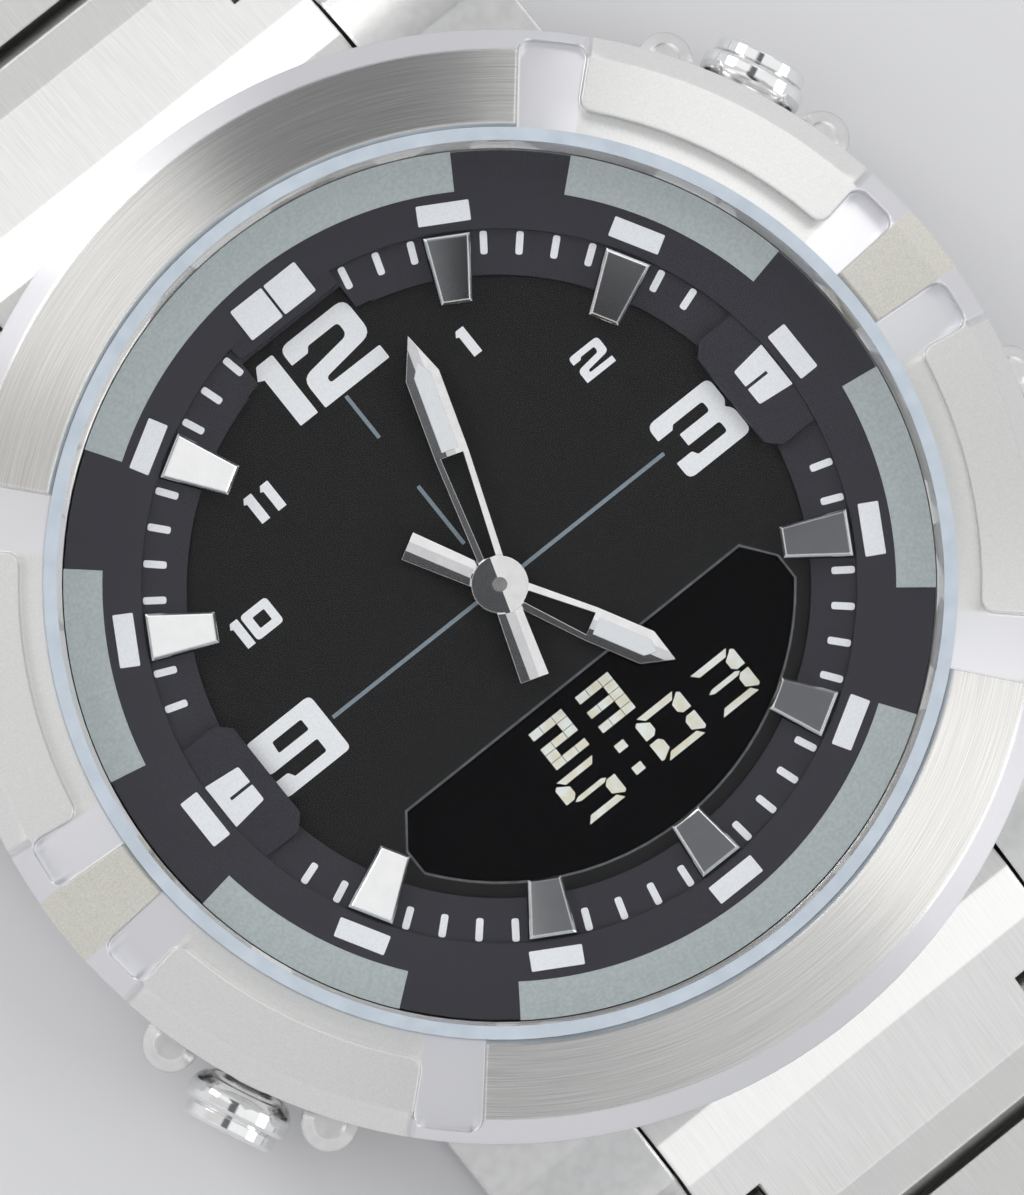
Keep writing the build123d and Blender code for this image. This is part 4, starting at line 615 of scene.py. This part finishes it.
# figure, lower left corner, width and height on the dial
dialFigures = [("1", -2.585, 10.44, 1.195, 3.1), ("2", -1.025, 10.39, 3.475, 3.15), ("9", -12.54, -1.43, 3.455, 2.81),
               ("3", 9.025, -1.49, 3.39, 2.865), ("1", -6.27, 8.22, 0.55, 1.305), ("1", -5.395, 8.22, 0.55, 1.305),
               ("1", 5.09, 8.18, 0.54, 1.32), ("2", 8.24, 4.35, 1.55, 1.31), ("1", -9.99, 4.48, 0.52, 1.29),
               ("0", -9.34, 4.48, 1.39, 1.28)]
# the print's layers over the dial and the display, in mm: how deep they start and how thick they
# stand
dialTop = 8.35
ink = {"sink": 0.01, "figures": 0.03, "lines": 0.02}
bm = bmesh.new()
for figure, left, low, width, height in dialFigures:
    fullWidth, fullHeight, corners, hole = figures[figure]
    across, upwards = width / fullWidth, height / fullHeight
    loops = [softened([(left + x * across, low + y * upwards, cut * upwards) for x, y, cut in ring])
             for ring in (corners, hole) if ring]
    addShape(bm, loops, dialTop - ink["sink"], dialTop + ink["figures"])
meshObject("dialNumerals", bm, printWhite, "case")

# grey lines towards 12, 3 and 9, as left, lower, right and upper edges in mm
crossLines = {"boxes": ((-0.13, 8.0, 0.04, 10.25), (-0.13, 2.3, 0.04, 5.4), (-8.9, -0.05, 8.9, 0.12)), "corner": 0.04}
bm = bmesh.new()
for x0, y0, x1, y1 in crossLines["boxes"]:
    addShape(bm, [bar(x0, y0, x1, y1, crossLines["corner"])], dialTop - ink["sink"], dialTop + ink["lines"])
meshObject("dialCrossLines", bm, printGrey, "case")

# the window's painted edge, round the opening that the display looks through
window = {"half": 9.92, "top": -4.997, "cornerWide": 1.0, "cornerDrop": 1.3, "bottomRadius": 12.4, "line": 0.1,
          "bottomTurn": 53.13, "steps": 24, "slantGrow": 0.5}
rings = []
for grow in (0.0, window["line"]):
    ring = [(window["half"] + grow, window["top"] - window["cornerDrop"]),
            (window["half"] - window["cornerWide"] + grow * window["slantGrow"], window["top"] + grow)]
    ring += [(-x, y) for x, y in ring[::-1]]
    radius = window["bottomRadius"] + grow
    for i in range(window["steps"] + 1):
        turn = radians(180 + window["bottomTurn"] - 2 * window["bottomTurn"] * i / window["steps"])
        ring.append((radius * sin(turn), radius * cos(turn)))
    rings.append(ring)
bm = bmesh.new()
addShape(bm, rings, dialTop - ink["sink"], dialTop + ink["lines"])
meshObject("windowEdge", bm, windowEdge, "case")
print("dial printed")

# the display's lit segments: the date in small blocks and the time in seven slanted strokes
displayTop = 7.95
dateCells = {"columns": [(0, 0.53), (0.555, 1.195), (1.22, 1.75)],
             "rows": [(-6.01, -5.64), (-6.42, -6.035), (-6.78, -6.445), (-7.18, -6.805), (-7.55, -7.205)],
             "2": ["123", "3", "123", "1", "123"], "3": ["123", "3", "123", "3", "123"],
             "digits": [("2", -2.93), ("3", -0.435)]}
bm = bmesh.new()
for digit, left in dateCells["digits"]:
    for (low, high), filled in zip(dateCells["rows"], dateCells[digit]):
        for column in filled:
            x0, x1 = dateCells["columns"][int(column) - 1]
            addShape(bm, [bar(left + x0, low, left + x1, high)], displayTop - ink["sink"], displayTop + ink["lines"])
timeStrokes = {
    "top": [(0.25, 2.23), (0.52, 1.94), (1.93, 1.94), (2.16, 2.23)],
    "bottom": [(0.27, 0.0), (2.16, 0.0), (1.93, 0.29), (0.54, 0.29)],
    "middle": [(0.38, 1.12), (0.6, 1.01), (1.85, 1.01), (2.03, 1.12), (1.85, 1.23), (0.6, 1.23)],
    "upperLeft": [(0.0, 1.24), (0.42, 1.24), (0.61, 1.42), (0.61, 1.78), (0.14, 2.1), (0.0, 2.0)],
    "lowerLeft": [(0.0, 0.2), (0.14, 0.18), (0.61, 0.45), (0.61, 0.86), (0.45, 1.04), (0.0, 1.04)],
    "upperRight": [(1.98, 1.24), (2.4, 1.24), (2.4, 2.0), (2.27, 2.1), (1.8, 1.78), (1.8, 1.42)],
    "lowerRight": [(1.8, 0.45), (2.28, 0.16), (2.4, 0.24), (2.4, 1.04), (1.98, 1.04), (1.8, 0.86)],
}
# each digit's left edge and lit strokes, and the colon's dots as left, right, height and lower edges
timeLayout = {"low": -10.2, "digits": [(-3.53, ("top", "upperLeft", "middle", "lowerRight", "bottom")),
                                       (0.77, ("top", "upperLeft", "lowerLeft", "upperRight", "lowerRight", "bottom")),
                                       (3.67, ("top", "middle", "upperRight", "lowerRight", "bottom"))],
              "dotSpan": (-0.43, 0.06), "dotHeight": 0.38, "dotLows": (-8.63, -9.8)}
timeShapes = [[(left + x, timeLayout["low"] + y) for x, y in timeStrokes[stroke]]
              for left, lit in timeLayout["digits"] for stroke in lit]
timeShapes += [bar(timeLayout["dotSpan"][0], low, timeLayout["dotSpan"][1], low + timeLayout["dotHeight"])
               for low in timeLayout["dotLows"]]
for shape in timeShapes:
    addShape(bm, [shape], displayTop - ink["sink"], displayTop + ink["lines"])
meshObject("displaySegments", bm, segmentTone, "case")
print("display lit")

# camera: 300 mm from the dial, a little to the left of and below its middle, turned with the watch
view = {"place": (-19.6, -8.8, 308.2), "target": (0.1015, -0.7208, 9.0), "up": (0.625, 0.781, 0), "lens": 215.6,
        "sensor": 36, "clipStart": 0.01}
cameraData = bpy.data.cameras.new("camera")
cameraData.lens = view["lens"]
cameraData.sensor_fit = "VERTICAL"
cameraData.sensor_height = view["sensor"]
cameraData.clip_start = view["clipStart"]
camera = bpy.data.objects.new("camera", cameraData)
bpy.context.scene.collection.objects.link(camera)
bpy.context.scene.camera = camera
back = (Vector(view["place"]) - Vector(view["target"])).normalized()
side = Vector(view["up"]).cross(back).normalized()
turn = Matrix((side, back.cross(side), back)).transposed().to_4x4()
camera.matrix_world = Matrix.Translation(Vector(view["place"]) * mm) @ turn

# soft panels aimed at the dial: place in metres, width in metres and power in watts
studioLamps = [("keyPanel", (-0.098, 0.554, 0.325), 0.25, 0.8), ("fillPanel", (0.281, -0.487, 0.325), 0.25, 0.6),
               ("sidePanel", (0.42, 0.17, 0.45), 0.3, 0.22)]
for name, place, size, power in studioLamps:
    lampData = bpy.data.lights.new(name, "AREA")
    lampData.size = size
    lampData.energy = power
    lamp = bpy.data.objects.new(name, lampData)
    bpy.context.scene.collection.objects.link(lamp)
    lamp.matrix_world = Matrix.Translation(place) @ (-Vector(place)).to_track_quat("-Z", "Y").to_matrix().to_4x4()

# the studio: a white tent with cards near its top, set out by clock angle as shares of a turn; the
# bands say between which angles from straight up, in degrees, each gives way to the next
studio = {"zenith": "#DDDDE0", "tent": "#E6E6E8", "backdrop": "#E9E9EB", "strength": 1.0,
          "bands": (("nearCards", 5.5, 9.5), ("farCards", 15.0, 20.0), ("tent", 55.0, 70.0)),
          "nearCards": [(0.0, "#6E6F72"), (0.11, "#6E6F72"), (0.15, "#FFFFFF"), (0.44, "#FFFFFF"), (0.52, "#8E8F92"),
                        (0.555, "#222327"), (0.7, "#222327"), (0.74, "#3E3F43"), (0.83, "#3E3F43"), (0.87, "#6E6F72")],
          "farCards": [(0.0, "#FFFFFF"), (0.022, "#FFFFFF"), (0.036, "#737476"), (0.111, "#6C6D70"), (0.138, "#FFFFFF"),
                       (0.24, "#FFFFFF"), (0.262, "#CED0CF"), (0.331, "#C8CACA"), (0.346, "#FFFFFF"),
                       (0.437, "#FFFFFF"), (0.452, "#BCBDBF"), (0.5, "#C3C4C6"), (0.55, "#D8D9DB"),
                       (0.6, "#DCDDDF"), (0.608, "#DEDEE1"),
                       (0.76, "#E4E4E6"), (0.79, "#FFFFFF"), (0.89, "#FFFFFF"), (0.907, "#E0DFDD"),
                       (0.941, "#DAD9D7"), (0.955, "#FFFFFF")]}
world = bpy.data.worlds.new("studio")
world.use_nodes = True
bpy.context.scene.world = world
tree = world.node_tree
tree.nodes.clear()
heading = addNode(tree, "ShaderNodeTexCoord").outputs["Generated"]
axes = addNode(tree, "ShaderNodeSeparateXYZ", {0: heading}).outputs
around = addNode(tree, "ShaderNodeMath", {0: axes[0], 1: axes[1]}, operation="ARCTAN2")
around = addNode(tree, "ShaderNodeMath", {0: around, 1: 2 * pi}, operation="DIVIDE")
around = addNode(tree, "ShaderNodeMath", {0: around, 1: 1.0, 2: 0.0}, operation="WRAP")
lean = addNode(tree, "ShaderNodeMath", {0: axes[2]}, operation="ARCCOSINE")
lean = addNode(tree, "ShaderNodeMath", {0: lean}, operation="DEGREES")
sky = hexColour(studio["zenith"])
for cards, start, end in studio["bands"]:
    reached = addNode(tree, "ShaderNodeMapRange", {"Value": lean, "From Min": start, "From Max": end},
                      interpolation_type="SMOOTHSTEP")
    if cards == "tent":
        ring = hexColour(studio[cards])
    else:
        ring = setStops(addNode(tree, "ShaderNodeValToRGB", {"Fac": around}), studio[cards])
    sky = addNode(tree, "ShaderNodeMix", {"Factor": reached, "A": sky, "B": ring}, data_type="RGBA").outputs[2]
seen = addNode(tree, "ShaderNodeLightPath").outputs["Is Camera Ray"]
sky = addNode(tree, "ShaderNodeMix", {"Factor": seen, "A": sky, "B": hexColour(studio["backdrop"])}, data_type="RGBA")
glow = addNode(tree, "ShaderNodeBackground", {"Color": sky.outputs[2], "Strength": studio["strength"]})
addNode(tree, "ShaderNodeOutputWorld", {"Surface": glow})

# pale studio table in two close tones, so that it isn't one flat one; half width and thickness in mm
table = {"half": 2000, "thick": 2.0}
floorMaterial = speckled("paleStudioTable", ("#E0E0E2", "#E2E2E4"), 40.0, 0.7, 0.0)
bm = bmesh.new()
addShape(bm, [bar(-table["half"], -table["half"], table["half"], table["half"])], -table["thick"], 0.0)
meshObject("studioFloor", bm, floorMaterial)
print("camera, lights and floor set")

bpy.context.scene.view_settings.view_transform = "Standard"
